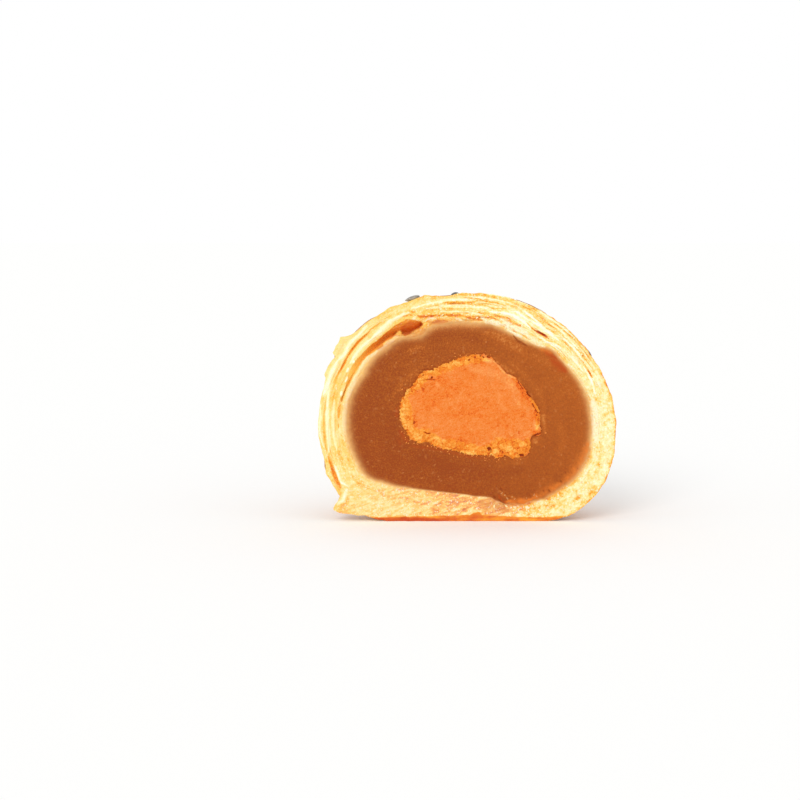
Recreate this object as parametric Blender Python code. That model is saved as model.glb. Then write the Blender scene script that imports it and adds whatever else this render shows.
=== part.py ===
"""Cut half of an egg yolk pastry: flaky crust, sweet bean paste and salted yolk.

Metres, +Z up. The cut face looks to -Y and the flat underside stands on z = 0.
Angles on the cut face are in degrees, from +X over +Z, about the face's centre.
A share of 0 is the crust's inner edge on the cut face, and 1 is its outer edge.
"""

import math
import random

import bmesh
import bpy
from mathutils import Matrix, Vector, noise

MM = 0.001

# The whole half
HALF_WIDTH = 27.5 * MM
DEPTH = 26.0 * MM  # from the cut face to the back
CUT_Y = -DEPTH / 2
CENTRE_Z = 20.3 * MM  # the height of the cut face's centre
WAIST_Z = 17.9 * MM  # the height of the widest place
RISE = 24.6 * MM  # from the waist to the top
DROP = 20.2 * MM  # from the waist to the lowest point, before the underside cuts it off
UPPER_POWER_RIGHT = 1.89  # 2 is an ellipse, and more is squarer
UPPER_POWER_LEFT = 2.30
LOWER_POWER = 2.65
BASE_ROUNDING = 3.0 * MM
BASE_CUT = 0.6 * MM  # how much of the rounded underside is cut off flat
LUMP = 0.35 * MM
LUMP_LENGTH = 11.0 * MM

# The paste and the yolk, as radii every 30 degrees round the cut face
FILLING_RADII = [r * MM for r in (22.3, 18.8, 15.9, 16.4, 17.5, 19.7, 22.1, 21.6, 16.7, 15.8, 19.3, 22.2)]
FILLING_DEPTH = 21.0 * MM
FILLING_SWELL = 0.25 * MM
YOLK_RADII = [r * MM for r in (12.6, 10.4, 10.1, 9.9, 10.2, 11.7, 13.1, 11.9, 8.8, 8.7, 10.5, 13.4)]
YOLK_DEPTH = 12.5 * MM
YOLK_CENTRE_X = 0.56 * MM
YOLK_CENTRE_Z = CENTRE_Z + 0.56 * MM
YOLK_CRUMB = 0.35 * MM
CLEARANCE = 0.3 * MM  # between two pieces that lie against each other

# The edge of the cut: flakes that stand out and places where one has broken off,
# as (angle, half width in degrees, how far out)
FLAKES = (
    (100, 5.0, -0.5 * MM),
    (128, 8.0, -0.35 * MM),
    (153, 4.5, 0.9 * MM),
    (162, 3.0, 0.3 * MM),
    (171, 4.0, -0.2 * MM),
    (185, 4.0, 0.2 * MM),
    (196, 5.0, -0.6 * MM),
    (209, 3.0, -0.5 * MM),
    (217, 3.6, 2.2 * MM),
    (221.5, 3.5, 0.9 * MM),
)
FLAKE_REACH = 4.0 * MM  # how far back from the cut they run
FLAKED_FROM = 0.8  # the share of the crust outside which the layers turn with the flakes

# The layers that show on the cut face
LAYERS = 9
LAYER_STEP = 0.45 * MM
LAYER_WOBBLE = 0.3  # of a layer's thickness
LAYER_RUN = 12.0  # degrees along the edge over which a layer comes forward or goes back
LAYER_GAP = 0.12  # the share of a layer's thickness that its steep edge takes
FLAKY_FROM = 12.0
FLAKY_TO = 212.0
FLAKY_EASE = 14.0
CRUMB = 0.12 * MM
CRUMB_LENGTH = 1.4 * MM

# The open space between the layers, as (angle, inner share, outer share, depth)
OPEN_GAP = (
    (92, 0.20, 0.25, 0.0 * MM),
    (105, 0.27, 0.34, 0.8 * MM),
    (114, 0.28, 0.43, 1.3 * MM),
    (118, 0.14, 0.42, 2.2 * MM),
    (124, 0.07, 0.44, 2.6 * MM),
    (130, 0.06, 0.44, 2.2 * MM),
    (136, 0.17, 0.45, 1.5 * MM),
    (146, 0.18, 0.45, 1.3 * MM),
    (156, 0.21, 0.43, 1.1 * MM),
    (164, 0.22, 0.36, 0.9 * MM),
    (174, 0.25, 0.33, 0.7 * MM),
    (188, 0.28, 0.33, 0.0 * MM),
)

# Grooves between layers, each as (angle, share, half width as a share, depth)
GROOVES = (
    ((124, 0.72, 0.03, 0.0 * MM), (134, 0.70, 0.04, 0.6 * MM), (145, 0.69, 0.05, 0.9 * MM),
     (156, 0.68, 0.05, 0.9 * MM), (164, 0.66, 0.04, 0.6 * MM), (172, 0.60, 0.03, 0.0 * MM)),
    ((166, 0.79, 0.03, 0.0 * MM), (180, 0.82, 0.04, 0.6 * MM), (193, 0.80, 0.04, 0.6 * MM),
     (199, 0.74, 0.06, 0.9 * MM), (204, 0.77, 0.08, 1.3 * MM), (209, 0.85, 0.09, 1.2 * MM),
     (213, 0.92, 0.03, 0.0 * MM)),
    ((90, 0.63, 0.03, 0.0 * MM), (97, 0.66, 0.05, 0.9 * MM), (104, 0.70, 0.03, 0.0 * MM)),
    ((66, 0.73, 0.03, 0.0 * MM), (84, 0.75, 0.04, 0.7 * MM), (94, 0.80, 0.03, 0.0 * MM)),
    ((41, 0.42, 0.03, 0.0 * MM), (46, 0.43, 0.06, 1.4 * MM), (60, 0.56, 0.03, 0.0 * MM)),
    ((14, 0.57, 0.03, 0.0 * MM), (18, 0.58, 0.06, 1.2 * MM), (26, 0.62, 0.03, 0.0 * MM)),
    ((58, 0.34, 0.03, 0.0 * MM), (65, 0.39, 0.05, 0.7 * MM), (72, 0.33, 0.03, 0.0 * MM)),
)

# Sesame seeds on the outer skin
SEED_LENGTH = 2.9 * MM
SEED_WIDTH = 1.7 * MM
SEED_HEIGHT = 1.1 * MM
SEED_TAPER = 0.35
SEED_LIFT = 0.1 * MM  # how far its middle lies above the skin
SEED_SIDES = 5
SEED_RINGS = 4
SEED_COUNT = 20
SEED_SPACING = 2.2 * MM
SEED_FIELD_ANGLES = (64, 120)
SEED_FIELD_SWINGS = (18, 46)
SEED_RANDOM = 11
# Three seeds just behind the cut, as (angle, swing, turn, lift), the first three in degrees
EDGE_SEEDS = (
    (114.5, 4.5, 5, 0.10 * MM),
    (96.5, 5.5, 70, -0.15 * MM),
    (27, 4.5, 5, -0.20 * MM),
)

# How finely each piece is divided
CRUST_COLUMNS = 120
FILLING_COLUMNS = 60
YOLK_COLUMNS = 48
SKIN_ROWS = 11
CAVITY_ROWS = 5
FILLING_FACE_ROWS = 5
YOLK_FACE_ROWS = 5
FIRST_SKIN_SWING = 6.0  # degrees from the cut to the skin's first row behind it
FIRST_CAVITY_SWING = 12.0
WELD = 0.001 * MM

CRUST_COLOUR = (0.93, 0.66, 0.27, 1.0)
FILLING_COLOUR = (0.40, 0.10, 0.02, 1.0)
YOLK_COLOUR = (0.92, 0.24, 0.05, 1.0)


def clear_scene():
    for item in list(bpy.data.objects):
        bpy.data.objects.remove(item, do_unlink=True)


def new_collection(name):
    collection = bpy.data.collections.new(name)
    bpy.context.scene.collection.children.link(collection)
    return collection


def new_material(name, colour, roughness):
    material = bpy.data.materials.new(name)
    material.use_nodes = True
    shader = material.node_tree.nodes["Principled BSDF"]
    shader.inputs["Base Color"].default_value = colour
    shader.inputs["Roughness"].default_value = roughness
    return material


def ease(share):
    share = min(max(share, 0.0), 1.0)
    return share * share * (3 - 2 * share)


def mix(low, high, share):
    return low + (high - low) * share


def smooth_min(first, second, rounding):
    share = min(max(0.5 + 0.5 * (second - first) / rounding, 0.0), 1.0)
    return mix(second, first, share) - rounding * share * (1 - share)


def between_knots(angle, knots):
    """The values of a table at an angle, eased from knot to knot, or None off its ends."""
    for low, high in zip(knots, knots[1:]):
        if low[0] <= angle <= high[0]:
            share = ease((angle - low[0]) / (high[0] - low[0]))
            return [mix(a, b, share) for a, b in zip(low[1:], high[1:])]
    return None


def ring_radius(angle, radii):
    """A closed smooth curve through radii that are evenly spread round the face."""
    place = (angle % 360) / 360 * len(radii)
    index = int(place)
    t = place - index
    a, b, c, d = (radii[(index + step) % len(radii)] for step in (-1, 0, 1, 2))
    bend = (2 * a - 5 * b + 4 * c - d) * t + (3 * b - a - 3 * c + d) * t * t
    return 0.5 * (2 * b + (c - a) * t + bend * t)


def direction(angle, swing):
    """A unit vector: the angle is round the cut face, the swing is from the face to the back."""
    turn = math.radians(angle)
    back = math.radians(swing)
    return Vector((math.cos(turn) * math.cos(back), math.sin(back), math.sin(turn) * math.cos(back)))


def inside_dome(ray, distance):
    x = ray.x * distance
    y = ray.y * distance
    z = CENTRE_Z + ray.z * distance
    if z < WAIST_Z:
        power, height = LOWER_POWER, DROP
    else:
        power, height = mix(UPPER_POWER_RIGHT, UPPER_POWER_LEFT, 0.5 - 0.5 * ray.x), RISE
    across = math.hypot(x / HALF_WIDTH, y / DEPTH)
    return across**power + (abs(z - WAIST_Z) / height) ** power < 1


def dome_distance(ray):
    """How far the dome's skin is from the cut face's centre, with the underside rounded in."""
    low = 0.0
    high = 2 * HALF_WIDTH
    for _ in range(30):
        middle = (low + high) / 2
        if inside_dome(ray, middle):
            low = middle
        else:
            high = middle
    if ray.z >= -0.01:
        return low
    return smooth_min(low, (CENTRE_Z + BASE_CUT) / -ray.z, BASE_ROUNDING)


def flake_offset(angle):
    return sum(out * max(0.0, 1 - ((angle - at) / half) ** 2) for at, half, out in FLAKES)


def skin_point(angle, swing, flaked=1.0):
    ray = direction(angle, swing)
    distance = dome_distance(ray)
    back = ray.y * distance
    distance += flaked * flake_offset(angle % 360) * math.exp(-((back / FLAKE_REACH) ** 2))
    distance += LUMP * noise.noise(ray * distance / LUMP_LENGTH) * ease(back / FLAKE_REACH)
    height = max(CENTRE_Z + ray.z * distance, 0.0)
    return Vector((ray.x * distance, CUT_Y + ray.y * distance, height))


def filling_radius(angle):
    return ring_radius(angle, FILLING_RADII)


def yolk_radius(angle):
    return ring_radius(angle, YOLK_RADII)


def bowl_point(angle, swing, radius, depth, centre_x=0.0, centre_z=CENTRE_Z):
    """A point on a half egg that has the given outline on the cut face."""
    ray = direction(angle, swing)
    return Vector((centre_x + ray.x * radius, CUT_Y + ray.y * depth, centre_z + ray.z * radius))


def flakiness(angle):
    return ease((angle - FLAKY_FROM) / FLAKY_EASE) * ease((FLAKY_TO - angle) / FLAKY_EASE)


def layer_edge(angle, layer):
    """The share at which a layer starts."""
    if layer in (0, LAYERS):
        return layer / LAYERS
    wobble = noise.noise(Vector((angle / LAYER_RUN, 5.1 * layer, 3.0)))
    return (layer + LAYER_WOBBLE * wobble * flakiness(angle)) / LAYERS


def layer_depth(angle, layer):
    step = noise.noise(Vector((angle / LAYER_RUN, 7.7 * layer, 9.0)))
    return LAYER_STEP * step * flakiness(angle)


def gap_depth(angle, share):
    """The open space: steep on its inner side, and rising slowly on its outer side."""
    found = between_knots(angle, OPEN_GAP)
    if found is None:
        return 0.0
    inner, outer, depth = found
    across = (share - inner) / (outer - inner)
    return depth * ease(across / 0.2) * ease((1 - across) / 0.9)


def groove_depth(angle, share):
    depth = 0.0
    for groove in GROOVES:
        found = between_knots(angle, groove)
        if found is not None:
            centre, half_width, deepest = found
            depth = max(depth, deepest * math.exp(-(((share - centre) / half_width) ** 2)))
    return depth


def face_rows():
    """The rows of points across the crust's cut face: two to a layer, from outside to inside."""
    rows = [(LAYERS - 1, 1.0)]
    for layer in reversed(range(LAYERS)):
        rows += [(layer, 1 - LAYER_GAP), (layer, LAYER_GAP)]
    return rows + [(0, 0.0)]


def face_point(angle, row):
    layer, place = row
    share = mix(layer_edge(angle, layer), layer_edge(angle, layer + 1), place)
    angle %= 360
    edge = skin_point(angle, 0, flaked=ease((share - FLAKED_FROM) / (1 - FLAKED_FROM)))
    inner = bowl_point(angle, 0, filling_radius(angle) + CLEARANCE, 0)
    point = inner.lerp(edge, share)
    point.y += layer_depth(angle, layer) + gap_depth(angle, share) + groove_depth(angle, share)
    point.y += CRUMB * noise.noise(point / CRUMB_LENGTH)
    return point


def cavity_point(angle, swing):
    return bowl_point(angle, swing, filling_radius(angle) + CLEARANCE, FILLING_DEPTH + CLEARANCE)


def filling_point(angle, swing):
    return bowl_point(angle, swing, filling_radius(angle), FILLING_DEPTH)


def filling_face_point(angle, share):
    """From the filling's edge, at 1, to the edge of its hollow for the yolk, at 0."""
    outer = bowl_point(angle, 0, filling_radius(angle), 0)
    point = hollow_point(angle, 0).lerp(outer, share)
    point.y += FILLING_SWELL * noise.noise(point / LUMP_LENGTH)
    return point


def hollow_point(angle, swing):
    radius = yolk_radius(angle) + CLEARANCE
    return bowl_point(angle, swing, radius, YOLK_DEPTH + CLEARANCE, YOLK_CENTRE_X, YOLK_CENTRE_Z)


def yolk_point(angle, swing):
    return bowl_point(angle, swing, yolk_radius(angle), YOLK_DEPTH, YOLK_CENTRE_X, YOLK_CENTRE_Z)


def yolk_face_point(angle, share):
    point = bowl_point(angle, 0, yolk_radius(angle) * share, 0, YOLK_CENTRE_X, YOLK_CENTRE_Z)
    point.y += YOLK_CRUMB * noise.noise(point / CRUMB_LENGTH) * (0.3 + 0.7 * share)
    return point


def swings(first, count):
    """Angles from just behind the cut to the pole at the back."""
    return [mix(first, 90.0, step / (count - 1)) for step in range(count)]


def wrapped_grid(name, columns, rows, material, collection):
    """A grid whose columns go round the cut face, closed at its seam and at both poles.

    Each row is a function and the value that it takes after the angle.
    """
    mesh = bpy.data.meshes.new(name)
    form = bmesh.new()
    bmesh.ops.create_grid(form, x_segments=columns, y_segments=len(rows) - 1, size=1)
    for vertex in form.verts:
        column = round((vertex.co.x + 1) / 2 * columns) % columns
        place, value = rows[round((vertex.co.y + 1) / 2 * (len(rows) - 1))]
        vertex.co = place(360 * column / columns, value)
    bmesh.ops.remove_doubles(form, verts=form.verts, dist=WELD)
    bmesh.ops.recalc_face_normals(form, faces=form.faces)
    form.to_mesh(mesh)
    form.free()
    mesh.materials.append(material)
    piece = bpy.data.objects.new(name, mesh)
    collection.objects.link(piece)
    return piece


def make_crust(collection):
    rows = [(skin_point, swing) for swing in reversed(swings(FIRST_SKIN_SWING, SKIN_ROWS))]
    rows += [(face_point, row) for row in face_rows()]
    rows += [(cavity_point, swing) for swing in swings(FIRST_CAVITY_SWING, CAVITY_ROWS)]
    material = new_material("crust", CRUST_COLOUR, 0.6)
    return wrapped_grid("crust", CRUST_COLUMNS, rows, material, collection)


def make_filling(collection):
    face = [1 - step / FILLING_FACE_ROWS for step in range(FILLING_FACE_ROWS + 1)]
    rows = [(filling_point, swing) for swing in reversed(swings(FIRST_CAVITY_SWING, CAVITY_ROWS))]
    rows += [(filling_face_point, share) for share in face]
    rows += [(hollow_point, swing) for swing in swings(FIRST_CAVITY_SWING, CAVITY_ROWS)]
    material = new_material("filling", FILLING_COLOUR, 0.45)
    return wrapped_grid("filling", FILLING_COLUMNS, rows, material, collection)


def make_yolk(collection):
    face = [1 - step / YOLK_FACE_ROWS for step in range(YOLK_FACE_ROWS + 1)]
    rows = [(yolk_point, swing) for swing in reversed(swings(FIRST_CAVITY_SWING, CAVITY_ROWS))]
    rows += [(yolk_face_point, share) for share in face]
    material = new_material("yolk", YOLK_COLOUR, 0.5)
    return wrapped_grid("yolk", YOLK_COLUMNS, rows, material, collection)


def seed_places():
    """(angle, swing, turn, lift) of each seed: those at the cut, then a scattered field."""
    draw = random.Random(SEED_RANDOM)
    places = list(EDGE_SEEDS)
    centres = [skin_point(angle, swing) for angle, swing, *_ in places]
    while len(places) < SEED_COUNT + len(EDGE_SEEDS):
        angle = draw.triangular(*SEED_FIELD_ANGLES)
        swing = draw.triangular(*SEED_FIELD_SWINGS)
        turn = draw.uniform(0, 180)
        centre = skin_point(angle, swing)
        if all((centre - other).length > SEED_SPACING for other in centres):
            places.append((angle, swing, turn, SEED_LIFT))
            centres.append(centre)
    return places


def seed_matrix(angle, swing, turn, lift):
    """Lays a seed on the skin, its middle lifted out and turned about the skin's normal."""
    small = 1.0
    centre = skin_point(angle, swing)
    along = (skin_point(angle + small, swing) - skin_point(angle - small, swing)).normalized()
    back = (skin_point(angle, swing + small) - skin_point(angle, swing - small)).normalized()
    normal = back.cross(along).normalized()
    side = normal.cross(along)
    frame = Matrix((along, side, normal)).transposed().to_4x4()
    lay = Matrix.Translation(centre + normal * lift)
    return lay @ frame @ Matrix.Rotation(math.radians(turn), 4, "Z")


def make_seed(number, matrix, collection):
    """A small egg, narrower at one end, that lies along its own X."""
    form = bmesh.new()
    bmesh.ops.create_uvsphere(form, u_segments=SEED_SIDES, v_segments=SEED_RINGS, radius=0.5)
    for vertex in form.verts:
        x, y, z = vertex.co.z, vertex.co.x, vertex.co.y
        narrow = 1 - SEED_TAPER * (x + 0.5)
        vertex.co = (x * SEED_LENGTH, y * SEED_WIDTH * narrow, z * SEED_HEIGHT * narrow)
    bmesh.ops.transform(form, matrix=matrix, verts=form.verts)
    bmesh.ops.recalc_face_normals(form, faces=form.faces)
    mesh = bpy.data.meshes.new(f"seed_{number:02d}")
    form.to_mesh(mesh)
    form.free()
    seed = bpy.data.objects.new(mesh.name, mesh)
    collection.objects.link(seed)


def fuse_seeds(crust, seeds):
    """Joins the seeds to the crust as one closed body, and takes the loose seeds away."""
    join = crust.modifiers.new("seeds", "BOOLEAN")
    join.operation = "UNION"
    join.operand_type = "COLLECTION"
    join.collection = seeds
    join.solver = "EXACT"
    bpy.context.view_layer.update()
    graph = bpy.context.evaluated_depsgraph_get()
    fused = bpy.data.meshes.new_from_object(crust.evaluated_get(graph))
    crust.modifiers.clear()
    crust.data = fused
    for seed in list(seeds.objects):
        bpy.data.objects.remove(seed, do_unlink=True)
    bpy.data.collections.remove(seeds)


def main():
    clear_scene()
    pastry = new_collection("egg_yolk_pastry")
    seeds = new_collection("sesame_seeds")
    crust = make_crust(pastry)
    filling = make_filling(pastry)
    yolk = make_yolk(pastry)
    for number, place in enumerate(seed_places()):
        make_seed(number, seed_matrix(*place), seeds)
    fuse_seeds(crust, seeds)
    for piece in (crust, filling, yolk):
        piece.data.shade_smooth()
        piece.data.set_sharp_from_angle(angle=math.radians(40))


main()
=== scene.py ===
"""The looks of a cut half of an egg yolk pastry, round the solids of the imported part.

Metres, +Z up. The cut face looks to -Y. Angles on the cut face are in degrees, from +X
over +Z, about the face's centre. A swing is how far a ray turns back from the cut face, in
degrees: 0 on the face and 90 at the pole behind it. A share of 0 is the crust's inner edge
on the cut face, and 1 is its outer edge. The form repeats the part's own rules, at a finer
division. The marks on the cut face are strokes at pixels of the photograph.
"""

import math
import random

import bpy
import numpy as np
from bpy.props import FloatProperty, FloatVectorProperty, IntProperty, PointerProperty
from mathutils import Matrix, Vector, noise


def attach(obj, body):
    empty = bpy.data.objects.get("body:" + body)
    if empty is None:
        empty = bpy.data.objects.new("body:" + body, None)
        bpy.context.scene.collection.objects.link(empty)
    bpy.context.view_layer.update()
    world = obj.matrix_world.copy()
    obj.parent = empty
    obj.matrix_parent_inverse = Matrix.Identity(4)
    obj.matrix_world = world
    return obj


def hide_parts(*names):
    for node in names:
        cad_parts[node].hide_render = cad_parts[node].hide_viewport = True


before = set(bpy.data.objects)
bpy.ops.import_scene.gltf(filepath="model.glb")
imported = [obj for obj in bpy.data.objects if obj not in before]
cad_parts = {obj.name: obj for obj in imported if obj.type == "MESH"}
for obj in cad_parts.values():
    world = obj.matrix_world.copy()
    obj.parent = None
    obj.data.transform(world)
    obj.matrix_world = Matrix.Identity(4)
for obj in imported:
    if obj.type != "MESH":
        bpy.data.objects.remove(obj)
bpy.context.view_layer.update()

bl_info = {
    "name": "Egg Yolk Pastry Half",
    "version": (1, 0, 0),
    "blender": (4, 5, 0),
    "location": "View3D > Sidebar > Pastry",
    "description": "Builds the flaky crust, paste, yolk, seeds and crumbs of a cut pastry",
    "category": "Add Mesh",
}

MM = 0.001

# The form, as the part's source gives it
HALF_WIDTH = 27.5 * MM
DEPTH = 26.0 * MM
CUT_Y = -DEPTH / 2
CENTRE_Z = 20.3 * MM
WAIST_Z = 17.9 * MM
RISE = 24.6 * MM
DROP = 20.2 * MM
UPPER_POWER_RIGHT = 1.89
UPPER_POWER_LEFT = 2.30
LOWER_POWER = 2.65
BASE_ROUNDING = 3.0 * MM
BASE_CUT = 0.6 * MM
LUMP = 0.35 * MM
LUMP_LENGTH = 11.0 * MM
FILLING_DEPTH = 21.0 * MM
FILLING_SWELL = 0.25 * MM
YOLK_DEPTH = 12.5 * MM
YOLK_CENTRE = (0.56 * MM, CENTRE_Z + 0.56 * MM)
FACE_CENTRE = (0.0, CENTRE_Z)
YOLK_CRUMB = 0.35 * MM
CLEARANCE = 0.3 * MM
OVERLAP = 0.06 * MM  # how far two pieces reach into each other, so that no gap shows

# Flakes at the edge of the cut, as (angle, half width in degrees, how far out in mm)
FLAKES = (
    (100, 5.0, -0.5), (128, 8.0, -0.35), (153, 4.5, 0.9), (162, 3.0, 0.3), (171, 4.0, -0.2),
    (185, 4.0, 0.2), (196, 5.0, -0.6), (209, 3.0, -0.5), (217, 3.6, 2.2), (221.5, 3.5, 0.9),
)
FLAKE_REACH = 4.0 * MM
FLAKED_FROM = 0.8
RIM_REACH = 3.0 * MM  # how far back what lies behind the cut follows the relief at its edge

LAYERS = 9
LAYER_STEP = 0.45 * MM
LAYER_WOBBLE = 0.3
LAYER_RUN = 12.0
LAYER_GAP = 0.12
LAYER_BULGE = 0.06 * MM
CREVICE_HALF = 0.10 * MM / (6.0 * MM)  # half a crevice's width, as a share
FLAKY_FROM = 12.0
FLAKY_TO = 212.0
FLAKY_EASE = 14.0
CRUMB = 0.12 * MM
CRUMB_LENGTH = 1.4 * MM

# The open space between the layers, as (angle, inner share, outer share, depth in mm)
OPEN_GAP = (
    (92, 0.20, 0.25, 0.0), (105, 0.27, 0.34, 0.8), (114, 0.28, 0.43, 1.3),
    (118, 0.14, 0.42, 2.2), (124, 0.07, 0.44, 2.6), (130, 0.06, 0.44, 2.2),
    (136, 0.17, 0.45, 1.5), (146, 0.18, 0.45, 1.3), (156, 0.21, 0.43, 1.1),
    (164, 0.22, 0.36, 0.9), (174, 0.25, 0.33, 0.7), (188, 0.28, 0.33, 0.0),
)

# Grooves between layers, each as (angle, share, half width as a share, depth in mm)
GROOVES = (
    ((124, 0.72, 0.03, 0.0), (134, 0.70, 0.04, 0.6), (145, 0.69, 0.05, 0.9),
     (156, 0.68, 0.05, 0.9), (164, 0.66, 0.04, 0.6), (172, 0.60, 0.03, 0.0)),
    ((166, 0.79, 0.03, 0.0), (180, 0.82, 0.04, 0.6), (193, 0.80, 0.04, 0.6),
     (199, 0.74, 0.06, 0.9), (204, 0.77, 0.08, 1.3), (209, 0.85, 0.09, 1.2),
     (213, 0.92, 0.03, 0.0)),
    ((90, 0.63, 0.03, 0.0), (97, 0.66, 0.05, 0.9), (104, 0.70, 0.03, 0.0)),
    ((66, 0.73, 0.03, 0.0), (84, 0.75, 0.04, 0.7), (94, 0.80, 0.03, 0.0)),
    ((41, 0.42, 0.02, 0.0), (46, 0.43, 0.04, 0.8), (60, 0.56, 0.02, 0.0)),
    ((14, 0.57, 0.02, 0.0), (18, 0.58, 0.04, 0.6), (26, 0.62, 0.02, 0.0)),
    ((58, 0.34, 0.03, 0.0), (65, 0.39, 0.05, 0.7), (72, 0.33, 0.03, 0.0)),
)
GROOVE_SCALE = (1.0, 1.0, 0.6, 0.5)  # a groove on the cut face as against the solid's

# The photograph's scale, and the pixel in which the face's centre lies
PIXELS = 5.38 / MM
CENTRE_COLUMN = 467.5
CENTRE_ROW = 412.9

# The torn left edge of the cut, in pixels of the photograph
TORN_EDGE = (
    (432, 293.5), (425, 295.5), (415, 299.5), (408, 302), (400, 304.5), (390, 307.5),
    (378, 316), (368, 322), (358, 331), (352, 334.5), (346, 336.5), (341, 337), (339, 343),
    (336, 346), (335, 350), (333, 353), (336, 356.5), (332, 361), (328, 367), (326, 372),
    (325, 375), (326, 378), (325, 385), (323, 392), (321, 400), (320, 408), (319, 418),
    (318.5, 428), (319, 436), (320, 442), (322, 450), (324, 458), (326, 466), (326, 474),
    (330, 480), (334, 487), (337, 492), (340, 497), (338, 502), (334, 507), (333.5, 511),
    (340, 514), (348, 515), (356, 517),
)

# Outlines on the cut face in the same pixels: the open gap, the shelf and the pit in it, whose
# orange and darker tones are painted shade, and the browned base
GAP = (
    (421, 321.5), (414, 319.5), (407, 319.5), (402, 321.5), (396, 325), (391, 328.5),
    (386, 333), (381, 338), (376, 342), (371, 345), (366, 350.5), (361, 355.5), (357, 360),
    (353.5, 365), (350.5, 370), (349, 374), (348.5, 379), (346.5, 384), (345, 389), (343, 394),
    (340.5, 398), (340.5, 401.5), (342.5, 402.5), (344, 399), (345.5, 394), (347.5, 389),
    (350, 384.5), (351.5, 380), (354, 376), (357.5, 370), (360.5, 365), (363.5, 361),
    (367, 357), (371, 354.5), (375.5, 351), (380, 349), (384, 346.5), (383.5, 343),
    (386.5, 341.5), (391, 339), (396, 335), (398.5, 331.5), (401, 331), (402.5, 334.5),
    (405, 336.8), (409, 335), (415, 331.5), (420, 328), (423.5, 325),
)
GAP_SHELF = (
    (397, 331.5), (391, 333), (386, 336), (383, 340.5), (378, 343.5), (374.5, 347.5),
    (375.5, 350.5), (380, 348.5), (384, 346.5), (383.5, 343), (388, 340.5), (394, 336),
)
GAP_PIT = (
    (399.5, 331), (402.5, 326.5), (407, 323.5), (412, 321.5), (418, 322), (423.5, 325),
    (420, 328), (415, 331.5), (409, 335), (405, 336.8), (402.5, 334.5),
)
BROWN_BASE = (
    (366, 518.5), (385, 517.6), (400, 517.2), (430, 516.8), (455, 516.3), (470, 515.6),
    (476, 513), (480, 512), (482, 515.5), (495, 516.5), (520, 517.6), (545, 518.2),
    (556, 516.8), (563, 517), (562, 526), (366, 526),
)
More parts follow.
